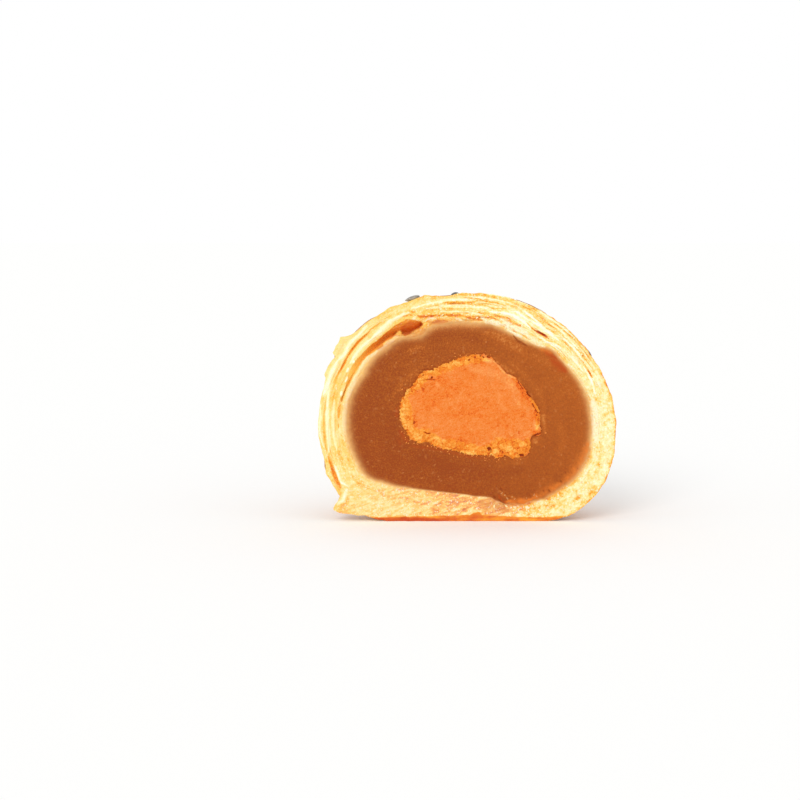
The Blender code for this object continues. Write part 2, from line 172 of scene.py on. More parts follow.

# Marks on the cut face as strokes: (half width in mm, strength, pixels of the photograph).
# First the crust's cracks and pits, painted dark as shade, then its raised ridge lines, painted
# paler as highlights.
SHADED_CRACKS = (
    (0.16, 0.45, ((385, 319), (389, 317.5), (392, 315.5))),
    (0.16, 0.65, ((383, 321.5), (376, 326), (371, 330), (367, 335))),
    (0.26, 0.75, ((369, 333), (360, 340.5), (353, 349), (348.5, 356))),
    (0.24, 0.70, ((348.5, 356), (345, 363), (342, 368.5), (338.5, 374))),
    (0.26, 0.45, ((338.5, 374), (336, 380), (334, 387))),
    (0.18, 0.22, ((327.5, 395), (326.5, 405), (324.5, 414))),
    (0.22, 0.26, ((324.5, 414), (323.5, 425), (324.5, 437), (326, 448))),
    (0.22, 0.6, ((409, 311.5), (412, 312), (416, 312.5))),
    (0.16, 0.6, ((403, 317), (411, 315), (416, 316))),
    (0.30, 1.0, ((418, 316.5), (426, 317.3), (435, 316))),
    (0.24, 0.85, ((435, 316), (443, 315.5), (453, 315.5), (463, 316.5), (475, 319))),
    (0.22, 1.0, ((465, 317.5), (472, 319), (477, 319.5), (482, 320.5))),
    (0.15, 0.9, ((504, 324.5), (506.5, 326.5))),
    (0.16, 0.8, ((509, 327.5), (511, 330.5))),
    (0.14, 0.7, ((493, 315), (496, 317))),
    (0.14, 0.7, ((519, 324.5), (522.5, 327))),
    (0.13, 0.6, ((497, 313), (500, 313.5))),
    (0.20, 0.60, ((442, 303.5), (449, 303), (458, 302), (465, 303), (475, 302))),
    (0.17, 0.55, ((463, 298), (475, 299), (488, 301.5), (500, 304.5), (508, 306.5))),
    (0.15, 0.5, ((470, 304), (485, 305.5), (494, 309), (503, 308.5), (515, 311.5))),
    (0.10, 0.35, ((428, 311), (440, 309), (456, 309), (468, 311))),
    (0.12, 0.5, ((511, 323), (515, 324), (519, 326))),
    (0.12, 0.6, ((525, 322), (530, 327), (535, 331))),
    (0.20, 1.5, ((534, 330), (541, 334), (548, 338.5))),
    (0.12, 0.5, ((522, 334), (528, 334), (534, 337), (540, 339.5))),
    (0.10, 0.5, ((532, 316), (538, 321), (544, 326))),
    (0.11, 0.6, ((545, 328), (551, 331.5), (557, 335))),
    (0.08, 0.4, ((552, 322), (562, 330), (571, 339))),
    (0.09, 0.6, ((563, 342), (567, 345), (571, 349))),
    (0.10, 0.8, ((574, 347), (581, 354), (586, 361), (592, 369))),
    (0.12, 0.6, ((581, 360), (584, 365), (588, 371))),
    (0.14, 0.85, ((587, 370), (589.5, 374), (592, 378))),
    (0.10, 0.5, ((593, 371), (595, 374), (597, 377))),
    (0.08, 0.5, ((555, 346), (558, 349), (562, 352))),
    (0.10, 0.5, ((565, 351), (568, 353), (570, 355))),
    (0.26, 0.60, ((341, 404.5), (339.5, 409), (339.5, 413), (339, 418))),
    (0.16, 0.6, ((339, 424), (339, 428))),
    (0.22, 0.7, ((329, 457), (330.5, 464), (332.5, 470))),
    (0.36, 0.9, ((332, 469), (335, 476), (338, 482), (341, 489))),
    (0.18, 0.55, ((349, 498), (346, 504), (341, 508))),
    (0.09, 0.7, ((341, 435), (342, 436))),
    (0.09, 0.6, ((345, 436), (345.5, 437))),
    (0.15, 1.3, ((592, 415), (592.5, 415.5))),
    (0.11, 0.9, ((596, 422), (597, 424), (597.5, 426))),
    (0.11, 0.9, ((598, 432), (598.5, 434))),
    (0.11, 0.7, ((599, 441), (599, 443))),
    (0.12, 0.8, ((599, 452), (600, 452.5))),
    (0.12, 0.7, ((603, 451.5), (604, 451.5))),
    (0.12, 0.7, ((446, 506), (448, 503.5), (452, 503))),
    (0.10, 0.5, ((447, 510), (448, 511))),
    (0.12, 0.6, ((339, 509), (344, 505), (348, 501), (348, 496))),
    (0.10, 0.4, ((352, 480), (360, 484), (370, 487))),
)
LIT_RIDGES = (
    (0.34, 0.7, ((367, 326), (358, 336), (350, 344), (345, 354), (338, 361))),
    (0.40, 0.8, ((338, 361), (332, 372), (327, 387), (324, 395))),
    (0.32, 0.9, ((409, 313), (399, 317), (389, 322), (379, 332), (371, 339))),
    (0.36, 0.7, ((371, 339), (362, 347), (357, 353), (351, 363))),
    (0.22, 1.2, ((355, 361), (353, 363))),
    (0.22, 1.0, ((349, 368), (347, 372))),
    (0.20, 1.1, ((348, 377), (346, 382))),
    (0.20, 1.0, ((342.5, 391), (341, 395))),
    (0.30, 0.6, ((321, 405), (321, 415), (320, 425), (321, 435), (324, 447))),
    (0.35, 0.7, ((330, 380), (328, 395), (328, 415), (328, 428), (330, 445), (328, 455))),
    (0.35, 0.6, ((335, 400), (333, 415), (334, 435), (337, 450))),
    (0.25, 1.0, ((335, 465), (338, 474), (341, 483), (347, 486))),
    (0.35, 0.9, ((347, 490), (343, 501), (337, 505))),
    (0.20, 0.8, ((411, 309), (425, 305), (445, 301), (463, 300), (475, 300.5))),
    (0.28, 0.7, ((427, 309), (445, 306), (465, 306.5), (490, 308.5))),
    (0.18, 0.7, ((470, 297), (490, 299), (510, 303))),
    (0.25, 1.1, ((490, 312), (503, 313), (512, 315), (520, 320), (530, 328))),
    (0.22, 0.9, ((480, 292.5), (497, 295), (512, 298), (527, 305))),
    (0.20, 0.8, ((505, 309), (518, 313), (528, 320))),
    (0.22, 1.0, ((532, 322), (541, 328), (550, 334.5), (558, 341))),
    (0.20, 0.9, ((535, 334), (545, 341), (554, 346), (562, 353))),
    (0.22, 0.9, ((560, 336), (568, 343), (576, 352), (583, 362))),
    (0.20, 0.8, ((540, 312), (552, 320), (562, 328), (572, 337))),
    (0.22, 0.9, ((583, 367), (588, 375), (592, 384), (595, 394))),
    (0.20, 0.8, ((440, 312), (455, 311.5), (470, 312.5), (482, 315))),
    (0.22, 0.8, ((518, 308), (530, 316), (543, 328), (556, 338))),
    (0.20, 0.8, ((548, 322), (560, 331), (570, 341), (579, 352))),
    (0.22, 0.7, ((552, 342), (562, 349), (573, 360), (582, 371))),
)
# Amber and toasted places, which take from the crumb's tone
STAINS = (
    (0.35, 0.20, ((486, 318), (496, 316), (510, 320.5), (519, 326))),
    (0.5, 0.14, ((505, 303), (530, 312), (550, 325), (566, 338))),
    (0.4, 0.20, ((460, 295), (490, 297), (520, 305), (545, 320))),
    (0.5, 0.20, ((598, 463), (599, 466))),
    (0.6, 0.28, ((590, 496), (594, 491), (597, 487))),
    (0.45, 0.30, ((577, 501), (581, 495))),
    (0.30, 0.28, ((581, 505), (590, 500))),
    (0.22, 0.25, ((607, 411), (608, 414))),
    (0.22, 0.25, ((608, 418), (609, 421))),
    (0.35, 0.08, ((548, 508), (560, 504), (566, 500))),
    (1.6, 0.13, ((415, 502), (440, 506), (470, 506), (500, 509), (530, 511))),
    (1.0, 0.14, ((476, 500), (490, 503), (500, 508))),
    (0.5, 0.30, ((432, 322.5), (440, 322), (447, 321.5))),
    (0.5, 0.15, ((400, 499), (420, 503))),
    (0.4, 0.16, ((352, 476), (362, 487), (378, 492))),
    (0.8, 0.12, ((343, 440), (346, 455), (354, 470))),
    (0.24, 0.20, ((486, 316.5), (492, 318))),
    (0.20, 0.20, ((498, 317.5), (504, 319.5))),
    (0.22, 0.24, ((508, 322.5), (513, 326))),
    (0.26, 0.26, ((511, 328), (516, 331.5))),
    (0.20, 0.20, ((521, 329), (528, 335))),
    (0.70, 0.30, ((591.5, 447), (588.5, 460), (582.5, 470), (575, 480.5), (567, 488))),
    (0.75, 0.30, ((566, 488), (556, 494.5), (546, 499.5))),
)
# Crumb that the paste's oil has soaked
OILED = (
    (1.3, 0.62, ((481, 503.5), (493, 506), (507, 510))),
    (0.5, 0.55, ((428, 322.5), (438, 322), (448, 321.5))),
    (0.8, 0.70, ((404, 341), (412, 339), (420, 335), (425, 330))),
    (0.45, 0.55, ((378, 350), (386, 346), (392, 343), (400, 341))),
    (0.50, 0.45, ((590, 449), (587, 460), (581, 469), (574, 479), (566, 486))),
    (0.55, 0.75, ((565, 485), (555, 491), (545, 496), (534, 500), (520, 504), (508, 505))),
    (0.30, 0.50, ((545, 347), (552, 351), (559, 356))),
)
# Orange and red-brown paste dragged over the crumb
SMEARS = (
    (0.22, 0.6, ((488, 497), (494, 500), (499, 503), (503, 505))),
    (0.40, 1.0, ((501, 504), (506, 505.5), (509, 507))),
    (0.45, 0.9, ((510, 504.5), (518, 506), (526, 504.5), (532, 501.5))),
    (0.22, 0.5, ((535, 501), (543, 499), (549, 497))),
    (0.35, 0.4, ((508, 508), (500, 509), (493, 507))),
)
# Chalky crumb, raised a little
WHITES = (
    (0.7, 0.8, ((503, 320), (508, 326), (512, 331))),
    (0.22, 1.0, ((500, 318.5), (504, 321.5))),
    (0.24, 1.0, ((506, 321.5), (511, 324))),
    (0.26, 1.0, ((510, 331.5), (516, 334))),
    (0.24, 1.0, ((518, 331), (524, 334.5))),
    (0.20, 0.9, ((412, 319), (416, 317.2))),
    (0.18, 0.9, ((416, 320.5), (421, 322.5))),
    (0.20, 0.8, ((425, 322), (430, 318.5), (436, 318.5))),
    (0.20, 0.8, ((455, 318.5), (462, 320))),
    (0.6, 0.9, ((511, 326), (519, 330), (527, 334))),
    (0.5, 0.6, ((484, 322), (495, 323), (503, 325))),
    (0.5, 0.8, ((527, 336), (534, 341), (543, 346))),
    (0.6, 0.7, ((570, 355), (574, 359), (577, 362))),
    (0.4, 0.9, ((595, 381), (598, 384), (600, 387))),
    (0.26, 1.1, ((480, 317), (486, 320.5))),
    (0.30, 1.1, ((489, 320.5), (496, 322.5), (503, 325))),
    (0.30, 1.2, ((505.5, 323.5), (508.5, 329))),
    (0.30, 1.1, ((513, 333.5), (521, 337))),
    (0.30, 1.2, ((596, 414.5), (598, 414))),
    (0.22, 1.0, ((599, 421), (600, 424))),
    (0.22, 1.0, ((601, 436), (601.5, 439))),
    (0.25, 0.9, ((595, 455), (597, 458))),
    (0.25, 0.9, ((585, 474), (588, 472))),
    (0.40, 0.7, ((579, 494), (580, 495))),
    (0.35, 0.8, ((580, 501), (581, 502))),
    (0.30, 0.7, ((559, 513), (560, 513))),
    (0.75, 0.95, ((592, 400), (595, 410), (596, 425), (596, 440))),
    (0.40, 0.30, ((398, 336), (390, 341.5), (386, 345), (377, 351.5))),
    (0.42, 0.50, ((377, 351.5), (369, 357), (363.5, 364), (359, 372))),
    (0.45, 0.50, ((359, 372), (354, 381), (350, 390), (347, 400))),
    (0.40, 0.25, ((347, 401), (345, 413), (344, 428), (345, 440))),
    (0.35, 0.6, ((404, 313), (392, 322), (380, 334), (370, 341), (362, 347))),
)

# How far in the cut face is browned from below, as (angle, share)
BROWNED_FROM = (
    (224, 1.0), (230, 0.99), (240, 0.95), (250, 0.90), (262, 0.86), (270, 0.86), (276, 0.82),
    (285, 0.74), (295, 0.76), (305, 0.87), (314, 1.0),
)
# How far back from the cut the brown skin has flaked off, as (angle, mm)
BARE_REACH = (
    (0, 0.6), (30, 1.8), (52, 3.4), (75, 3.2), (108, 3.6), (122, 3.0), (140, 2.0), (175, 1.4),
    (205, 2.4), (224, 1.2), (245, 0.3), (300, 0.2), (360, 0.6),
)
# Every 30 degrees: the crumb's tone near the paste, midway and near the skin; how finely its
# layers are lined; how coarse its grain is; and how golden its outer edge is
TONES = (
    (0.62, 0.58, 0.56, 0.45, 0.42, 0.48, 0.57, 0.54, 0.37, 0.44, 0.45, 0.73),
    (0.64, 0.55, 0.69, 0.48, 0.44, 0.53, 0.43, 0.56, 0.51, 0.46, 0.49, 0.58),
    (0.67, 0.65, 0.65, 0.61, 0.51, 0.59, 0.55, 0.51, 0.50, 0.53, 0.58, 0.64),
)
LINED = (0.5, 1.0, 1.0, 0.7, 0.25, 0.12, 0.2, 0.3, 0.15, 0.15, 0.15, 0.3)
GRAINY = (0.85, 0.7, 0.7, 0.8, 0.5, 0.25, 0.3, 0.6, 0.8, 1.0, 1.0, 0.9)
GOLDEN = (0.9, 0.6, 0.45, 0.45, 0.3, 0.2, 0.1, 0.2, 0.4, 0.6, 0.6, 0.8)
# How far the paste stains the crust and how far its own edge fades, in mm and likewise
SOFT = (0.9, 0.55, 0.65, 1.0, 1.0, 1.0, 1.1, 0.8, 0.25, 0.18, 0.33, 0.70)
SOFTNESS = 0.62

# The outlines of the paste and of the yolk in pixels of the photograph
PASTE_EDGE = (
    (588.5, 413), (587.7, 406.2), (585.9, 400.2), (583.3, 394.3), (580.8, 388.4),
    (578.2, 383.5), (574.8, 378.5), (570.4, 373.5), (567.7, 369.8), (564.4, 366.5),
    (561.2, 362.6), (557.3, 358.2), (553.3, 353.8), (549.4, 351), (545, 349), (540, 348.2),
    (535, 346.5), (530, 344.7), (525, 342.7), (520, 340.2), (515, 337.2), (510, 334.6),
    (505, 332.5), (500, 329.8), (495, 327.3), (490, 325.5), (484, 325), (478, 325),
    (472, 324.6), (465, 324.2), (458, 323.7), (452, 324.1), (446, 325.2), (440, 325.8),
    (433.8, 327), (429.6, 329.4), (426.4, 332.2), (423.4, 335), (419.5, 337), (413.5, 338),
    (407.5, 338.5), (402.5, 339.1), (397.5, 341.1), (393.4, 343.7), (389.4, 347.3),
    (385.5, 350.4), (381.7, 353.1), (378, 356), (375, 359), (372, 363), (369.5, 367),
    (367, 371.5), (365, 376), (361.5, 380), (359, 384), (356, 389), (353, 395), (351, 401),
    (349.5, 408), (348.5, 415), (348.5, 422), (349, 430), (350, 437), (351.5, 444),
    (353.5, 450), (356, 456), (359, 462), (361.5, 467), (364.6, 472.5), (369.5, 477.3),
    (375.7, 479.7), (383, 481.5), (390, 484), (398, 486), (406, 487), (415, 488.5),
    (424, 489.5), (433, 490.5), (442, 491.5), (451, 492.5), (460, 493.5), (468, 494.5),
    (476, 496), (484, 496.3), (489, 496.9), (493, 498.8), (497, 500.5), (501, 502.5),
    (505, 504), (512, 503.5), (520, 504.5), (526, 503), (531, 501), (537, 500), (544, 498),
    (550, 495.5), (556, 491), (562, 487), (568, 483), (574, 477), (578.4, 470.6),
    (581.3, 465.6), (584.2, 460.6), (586.6, 454.6), (588.1, 448.7), (588.7, 441.8),
    (589.4, 435), (590, 428), (589.5, 420),
)
YOLK_EDGE = (
    (540, 414), (538.5, 409), (536, 404.5), (533, 400), (530.5, 396.5), (528, 393),
    (525.5, 390), (523, 387), (520, 383), (517.5, 379.5), (515, 377), (511, 375),
    (506.5, 373.5), (504, 371), (501.5, 368), (499, 365), (495.5, 362.5), (493, 359),
    (491.5, 357), (489, 356.5), (486, 356), (483.5, 353.5), (481, 355), (478, 354),
    (475, 354.5), (471, 354.5), (468.5, 356.5), (464, 356), (461, 357.5), (458, 358.5),
    (454.5, 360), (451, 361.5), (448.5, 363.5), (444, 363), (441, 365), (438, 367), (434, 369),
    (430.5, 370.5), (427, 370), (424, 370.5), (423, 373), (421, 373.5), (418.5, 375.5),
    (417.5, 378.5), (416, 381.5), (413.5, 384), (412, 387), (408.5, 388.5), (406.5, 390),
    (405.5, 394), (404, 397), (401.5, 398.5), (401, 402), (400, 404.5), (400.5, 409),
    (399.5, 414), (400.5, 419), (401, 422), (402.5, 425), (403.5, 428), (405.5, 430.5),
    (406.5, 434.5), (408.5, 437), (411, 440), (413, 441.5), (415, 443.5), (417.5, 441.5),
    (420.5, 443.5), (424, 442.5), (428, 443), (431, 444.5), (434, 446), (437, 447.5),
    (441, 448.5), (444, 450), (447, 449.5), (450, 451), (454, 450.5), (458, 451.5),
    (462, 452.5), (465, 454), (469, 455), (472, 455.5), (477, 455.5), (481, 455), (485, 456),
    (489, 456), (492, 455), (495, 457.5), (499, 458), (503, 457.5), (505, 455), (508, 457),
    (512, 458.5), (516, 458), (520, 457.5), (523, 457), (526, 456.5), (528.5, 453.5),
    (530, 450), (530.5, 445), (530.5, 440), (531, 437), (534, 436), (538, 436.5), (541, 434),
    (541, 431), (540, 427), (540, 422), (540.5, 418),
)
# Where the yolk is crumbly, its raised lumps, paler partly by their own colour and partly as
# painted highlights, its deep orange places, and its pits and cracks, painted dark as shade, with
# a painted shadow line and a painted highlight line along its upper right edge
YOLK_RIM = (
    (2.0, 0.9, ((403, 398), (402, 410), (404, 422), (409, 432))),
    (1.6, 0.9, ((409, 432), (420, 436), (430, 439), (440, 443))),
    (1.5, 0.8, ((440, 443), (455, 448), (470, 451), (485, 451))),
    (2.2, 0.9, ((485, 451), (500, 450), (515, 449), (526, 447))),
    (1.2, 0.8, ((526, 447), (528, 440))),
    (1.5, 0.8, ((404, 397), (411, 386), (419, 379), (428, 374))),
    (1.3, 0.7, ((428, 374), (440, 368), (455, 362), (470, 359), (485, 359))),
    (0.9, 0.5, ((530, 398), (536, 408), (538, 420), (537, 430))),
)
YOLK_LUMPS_AND_HIGHLIGHTS = (
    (0.6, 0.9, ((496, 450), (499, 453))),
    (0.7, 0.8, ((508, 446), (513, 449))),
    (0.5, 0.8, ((438, 441), (442, 442))),
    (0.5, 0.7, ((430, 437), (434, 438))),
    (0.5, 0.9, ((436, 383), (439, 386))),
    (0.4, 0.8, ((524, 434), (529, 431))),
    (0.35, 0.9, ((491, 454), (491, 455))),
    (0.4, 0.7, ((403, 404), (404, 408))),
    (0.5, 0.6, ((410, 425), (414, 430))),
    (0.4, 0.6, ((470, 452), (476, 453))),
    (0.5, 0.6, ((450, 364), (458, 362))),
    (0.15, 1.0, ((489, 357.5), (495, 362.5), (500, 368), (504, 373), (510, 376), (515, 378.5))),
    (0.5, 0.9, ((484, 361), (488, 360), (491, 361))),
    (0.6, 0.8, ((534, 421), (537, 425), (535, 428))),
    (0.35, 1.0, ((524, 435), (528, 432))),
    (0.2, 0.9, ((523, 420), (526, 418.5))),
    (0.5, 0.8, ((404, 413), (404, 419))),
    (0.4, 0.8, ((428, 371), (433, 371))),
    (0.5, 0.4, ((463, 381), (470, 383), (478, 386))),
    (0.9, 0.7, ((470, 368), (490, 372), (505, 380), (514, 391), (519, 404))),
    (0.7, 0.3, ((440, 404), (455, 401), (470, 400))),
    (1.6, 0.25, ((432, 418), (447, 425), (462, 432))),
    (0.5, 0.5, ((432, 409), (440, 411))),
    (0.30, 1.2, ((457, 451.5), (466, 453), (477, 455))),
    (0.25, 1.1, ((432, 438.5), (440, 439), (446, 441))),
)
YOLK_EMBERS = (
    (0.6, 0.9, ((512, 379), (522, 389), (531, 402), (536, 414), (538, 424))),
    (0.22, 0.9, ((416, 412), (414.5, 420), (415, 430), (422, 433))),
    (0.18, 1.2, ((437, 447), (441, 441), (443, 437))),
    (0.6, 0.6, ((532, 433), (540, 433))),
    (0.5, 0.5, ((470, 372), (463, 366), (470, 362))),
    (0.3, 0.7, ((415, 418), (416, 425), (413, 431))),
    (0.25, 0.7, ((423, 379), (429, 379.5), (435, 379.5))),
    (0.25, 0.6, ((421, 383), (422, 387), (423, 391))),
    (0.25, 0.6, ((418, 432), (423, 432.5), (428, 432.5))),
    (0.8, 0.35, ((455, 415), (470, 412), (485, 416))),
    (0.5, 0.55, ((448, 365), (462, 359.5), (476, 357), (486, 359))),
    (1.3, 0.35, ((442, 397), (452, 390), (462, 386))),
)
SHADED_YOLK_PITS = (
    (0.34, 1.0, ((488, 448.5), (491, 449.5))),
    (0.22, 1.0, ((519, 455.5), (524, 455))),
    (0.16, 0.9, ((444.5, 450), (447, 451))),
    (0.12, 0.9, ((425, 432), (427.5, 433.5), (430, 432.5))),
    (0.12, 0.5, ((414, 421), (414.5, 424))),
    (0.09, 0.5, ((422, 380), (429, 379), (435, 379.5))),
    (0.20, 0.9, ((431.5, 377), (433, 377.5))),
    (0.16, 0.8, ((423, 375), (424, 375))),
    (0.18, 0.9, ((468.5, 360), (469.5, 360))),
    (0.15, 1.0, ((480, 355.5), (480.5, 356.5))),
    (0.16, 1.0, ((483, 357), (483.5, 358.5))),
    (0.15, 1.0, ((487, 357), (490, 358))),
    (0.07, 0.6, ((516, 378.5), (520, 384), (523, 389))),
    (0.13, 0.9, ((526, 391.5), (529, 395), (531, 397.5))),
    (0.10, 0.8, ((532, 403), (534.5, 408), (537, 412))),
    (0.16, 0.8, ((532, 436), (536, 435), (540, 434))),
    (0.16, 0.7, ((504, 456), (506, 458))),
    (0.14, 0.5, ((519, 431), (519, 434))),
)

# The paste's lighter, darker, red and orange places, then its pits and cracks. The red places are
# partly oily paste and partly painted shade, and the pits and cracks are painted dark as shade.
PASTE_LIGHT = (
    (0.7, 0.8, ((418, 333), (430, 328), (445, 325), (462, 325), (478, 327))),
    (0.5, 0.9, ((426, 326), (420, 333), (413, 340))),
    (0.5, 0.7, ((497, 362), (505, 369), (514, 373))),
    (0.5, 0.9, ((534, 440), (537, 443))),
    (0.4, 0.7, ((543, 412), (544, 422), (545, 432))),
    (0.5, 0.6, ((534, 441), (538, 441))),
    (0.5, 0.6, ((408, 352), (415, 349), (424, 347))),
    (0.6, 0.5, ((512, 463), (520, 464))),
    (0.22, 1.3, ((499, 491), (503, 494), (506, 497), (508, 500))),
    (0.25, 1.1, ((508, 496.5), (512, 497.5), (515, 499))),
    (0.22, 1.0, ((532, 495), (536, 496), (539, 498))),
    (0.9, 0.35, ((560, 425), (562, 440), (560, 455))),
    (0.9, 0.50, ((486, 333), (500, 338), (512, 344), (522, 351))),
    (0.7, 0.25, ((522, 352), (536, 357), (548, 365))),
    (0.6, 0.35, ((545, 412), (541, 396), (531, 383), (517, 369), (505, 358))),
    (0.7, 0.40, ((392, 410), (395, 396), (403, 383), (414, 371), (428, 362))),
    (0.5, 0.25, ((368, 470), (384, 479), (410, 484), (436, 487))),
)
PASTE_DARK = (
    (1.2, 0.6, ((425, 338), (445, 334), (465, 335), (480, 340))),
    (1.6, 0.5, ((420, 457), (450, 469), (490, 473), (520, 470))),
    (1.2, 0.3, ((395, 400), (392, 425), (400, 450))),
)
PASTE_RED_OIL_AND_SHADE = (
    (0.85, 0.85, ((551, 359.5), (558, 365), (565, 371.5))),
    (0.45, 0.9, ((544, 351), (550, 354.5), (556, 359))),
    (0.5, 0.5, ((400, 431), (403, 436), (408, 442))),
    (0.3, 0.35, ((398, 440), (402, 446))),
    (0.30, 0.4, ((411, 446), (422, 447.5), (436, 450))),
    (0.25, 0.5, ((397, 407), (397, 418))),
    (0.25, 0.4, ((425, 446), (445, 451), (465, 456.5), (490, 459))),
    (0.14, 0.9, ((499, 495), (500.5, 499), (502, 501.5))),
    (0.14, 0.9, ((504, 501.5), (507, 504))),
)
PASTE_GLOW = (
    (1.00, 0.75, ((588.5, 443), (585.5, 454), (580, 465), (572, 475), (562, 483))),
    (0.75, 0.85, ((563, 483), (553, 489), (543, 494.5), (533, 498.5))),
    (0.60, 1.3, ((532, 500), (524, 502), (515, 502.5), (507, 502))),
    (0.40, 0.7, ((539, 349), (546, 350.5), (552, 353))),
    (0.30, 0.5, ((580, 462), (585, 459), (587, 453))),
)
SHADED_PASTE_PITS = (
    (0.18, 1.0, ((512.5, 336), (518, 341), (522, 344), (526, 346))),
    (0.16, 0.9, ((565, 473), (565.5, 474))),
    (0.22, 1.0, ((561, 481.5), (562, 483))),
    (0.20, 1.0, ((549, 490.5), (550.5, 492))),
    (0.18, 0.9, ((577.5, 468.5), (578.5, 469))),
    (0.22, 0.8, ((501, 489), (502.5, 491))),
    (0.12, 0.8, ((499, 500), (501, 502), (503, 503))),
    (0.16, 0.7, ((508, 497), (511, 499))),
    (0.14, 0.8, ((494, 496.5), (496, 498.5))),
    (0.13, 0.8, ((543, 491), (545, 492))),
)
# Pixels with a pale grain in the paste
PALE_SPECKS = (
    (372, 440.5), (367.5, 461.5), (403, 473.5), (412.5, 477), (421.5, 478.5), (429.5, 450.5),
    (393, 447.5), (399, 451), (438.5, 477), (441, 481), (450, 477.5), (386, 354), (413, 353),
    (396.5, 363), (380, 379.5), (401, 379.5), (405.5, 374.5), (405.5, 384), (366.5, 395.5),
    (389.5, 400), (472, 340), (485.5, 342), (494.5, 351.5), (544, 447), (547, 460), (561, 455),
    (512, 478), (533, 420), (435, 465), (383, 420), (464, 470), (383, 408),
)
SPECK_HALF = 0.15
SPECK_RUN = 0.4
# Loose bits of paste, as (column, row, size in mm)
PASTE_CRUMBS = (
    (499.5, 491.5, 0.45), (502, 493.5, 0.60), (505, 496, 0.50), (507.5, 499, 0.60),
    (512.5, 497.5, 0.45), (515, 499.5, 0.35), (534.5, 495.5, 0.50), (537, 497, 0.40),
    (503.5, 505.5, 0.40), (509, 503, 0.35), (559, 483, 0.35), (527, 498.5, 0.30),
)

# Sesame seeds, as in the part's source
SEED_TAPER = 0.35
SEED_LIFT = 0.1 * MM
SEED_COUNT = 20
SEED_SPACING = 2.2 * MM
SEED_FIELD_ANGLES = (64, 120)
SEED_FIELD_SWINGS = (18, 46)
SEED_RANDOM = 11
WEAR_RANDOM = 23
CRUMB_RANDOM = 5
EDGE_SEEDS = ((116.0, 4.0, 5, 0.30 * MM), (96.5, 5.5, 70, -0.15 * MM), (27, 4.5, 5, -0.20 * MM))

# The attributes that carry the crust's looks
FACE_MARKS = ("tone", "stained", "white", "oiled", "lined", "combed", "grainy", "skin", "bare",
              "grain_place")

# How finely each piece is divided
CRUST_COLUMNS = 700
SKIN_ROWS = 62
SKIN_CROWDING = 1.35
LAYER_PLACES = (0.93, 0.82, 0.65, 0.5, 0.35, 0.18, 0.07, 0.0)
CAVITY_ROWS = 4
FILLING_COLUMNS = 600
FILLING_FACE_ROWS = 60
YOLK_COLUMNS = 480
YOLK_FACE_ROWS = 96
HIDDEN_ROWS = 6
FIRST_SWING = 12.0  # of the first row behind the cut face
WELD = 0.001 * MM
RING = 25.0 * MM  # the ring's middle radius, for patterns that follow the layers
RING_STRETCH = 14.0  # how much finer those patterns are across the layers than along them

# The stage
KEY_TOWARDS = (-0.30, -0.85, 0.55)
LAMP_SPREAD = 28.0
AIM = (-12.5 * MM, CUT_Y, 22.7 * MM)
SENSOR_WIDTH = 36.0
CLIP_START = 0.01


def paint(red, green, blue):
    """A colour as a picture gives it, from 0 to 255, in the linear values that shaders use."""
    shares = (value / 255 for value in (red, green, blue))
    return tuple(s / 12.92 if s <= 0.04045 else ((s + 0.055) / 1.055) ** 2.4 for s in shares)


def mix(low, high, share):
    return low + (high - low) * share


def ease(share):
    share = np.clip(share, 0.0, 1.0)
    return share * share * (3 - 2 * share)


def step_up(value, low, high):
    """0 below low and 1 above high."""
    return ease((value - low) / (high - low))


def smooth_min(first, second, rounding):
    share = np.clip(0.5 + 0.5 * (second - first) / rounding, 0.0, 1.0)
    return mix(second, first, share) - rounding * share * (1 - share)


def stack(x, y, z):
    return np.stack(np.broadcast_arrays(x, y, z), axis=-1)


def ripple(places):
    """Smooth noise, about -1 to 1, at an array of places whose unit is one bump."""
    rows = places.reshape(-1, 3).tolist()
    return np.fromiter(map(noise.noise, rows), float, len(rows)).reshape(places.shape[:-1])


def bumps(places, size, seed=0):
    """Noise whose bumps have this size in mm. Each seed gives another pattern."""
    return ripple(places / (size * MM) + seed)


def scratches(places, degrees, run, width, seed=0):
    """Noise in slanted lines over the cut face, run mm long and width mm wide."""
    turned = places @ np.array(Matrix.Rotation(math.radians(degrees), 3, "Y")).T
    return ripple(turned * np.array([1 / run, 1, 1 / width]) / MM + seed)


def swayed(places, size, reach, seeds=(3, 17)):
    """Places moved about on the cut face by noise, and the noise along X."""
    sideways, upwards = (bumps(places, size, seed) for seed in seeds)
    return places + reach * MM * stack(sideways, 0, upwards), sideways


def along_ring(angle, across, run, width, number=0.0):
    """Noise that follows the layers: as long as run along them and as wide as width across."""
    turn = np.radians(angle)
    radius = RING / run
    return ripple(stack(radius * np.cos(turn) + number, radius * np.sin(turn), across / width))


def between_knots(angle, knots):
    """A table's values at each angle, eased from knot to knot, and whether each is on it."""
    table = np.array(knots, float)
    inside = (angle >= table[0, 0]) & (angle <= table[-1, 0])
    index = np.clip(np.searchsorted(table[:, 0], angle, side="right") - 1, 0, len(table) - 2)
    share = ease((angle - table[index, 0]) / (table[index + 1, 0] - table[index, 0]))
    values = [mix(column[index], column[index + 1], share) for column in table[:, 1:].T]
    return values, inside


def ring_value(angle, values):
    """A closed smooth curve through values that are evenly spread round the face."""
    values = np.asarray(values, float)
    place = (angle % 360) / 360 * len(values)
    index = np.floor(place).astype(int)
    t = place - index
    a, b, c, d = (values[(index + step) % len(values)] for step in (-1, 0, 1, 2))
    bend = (2 * a - 5 * b + 4 * c - d) * t + (3 * b - a - 3 * c + d) * t * t
    return 0.5 * (2 * b + (c - a) * t + bend * t)


def sector(angle, start, rise, end, fall):
    """1 between two angles, with a rise and a fall of so many degrees inside them."""
    return step_up(angle, start, start + rise) * step_up(end - angle, 0, fall)


def rays(angle, swing):
    turn = np.radians(angle)
    back = np.radians(swing)
    return stack(np.cos(turn) * np.cos(back), np.sin(back), np.sin(turn) * np.cos(back))


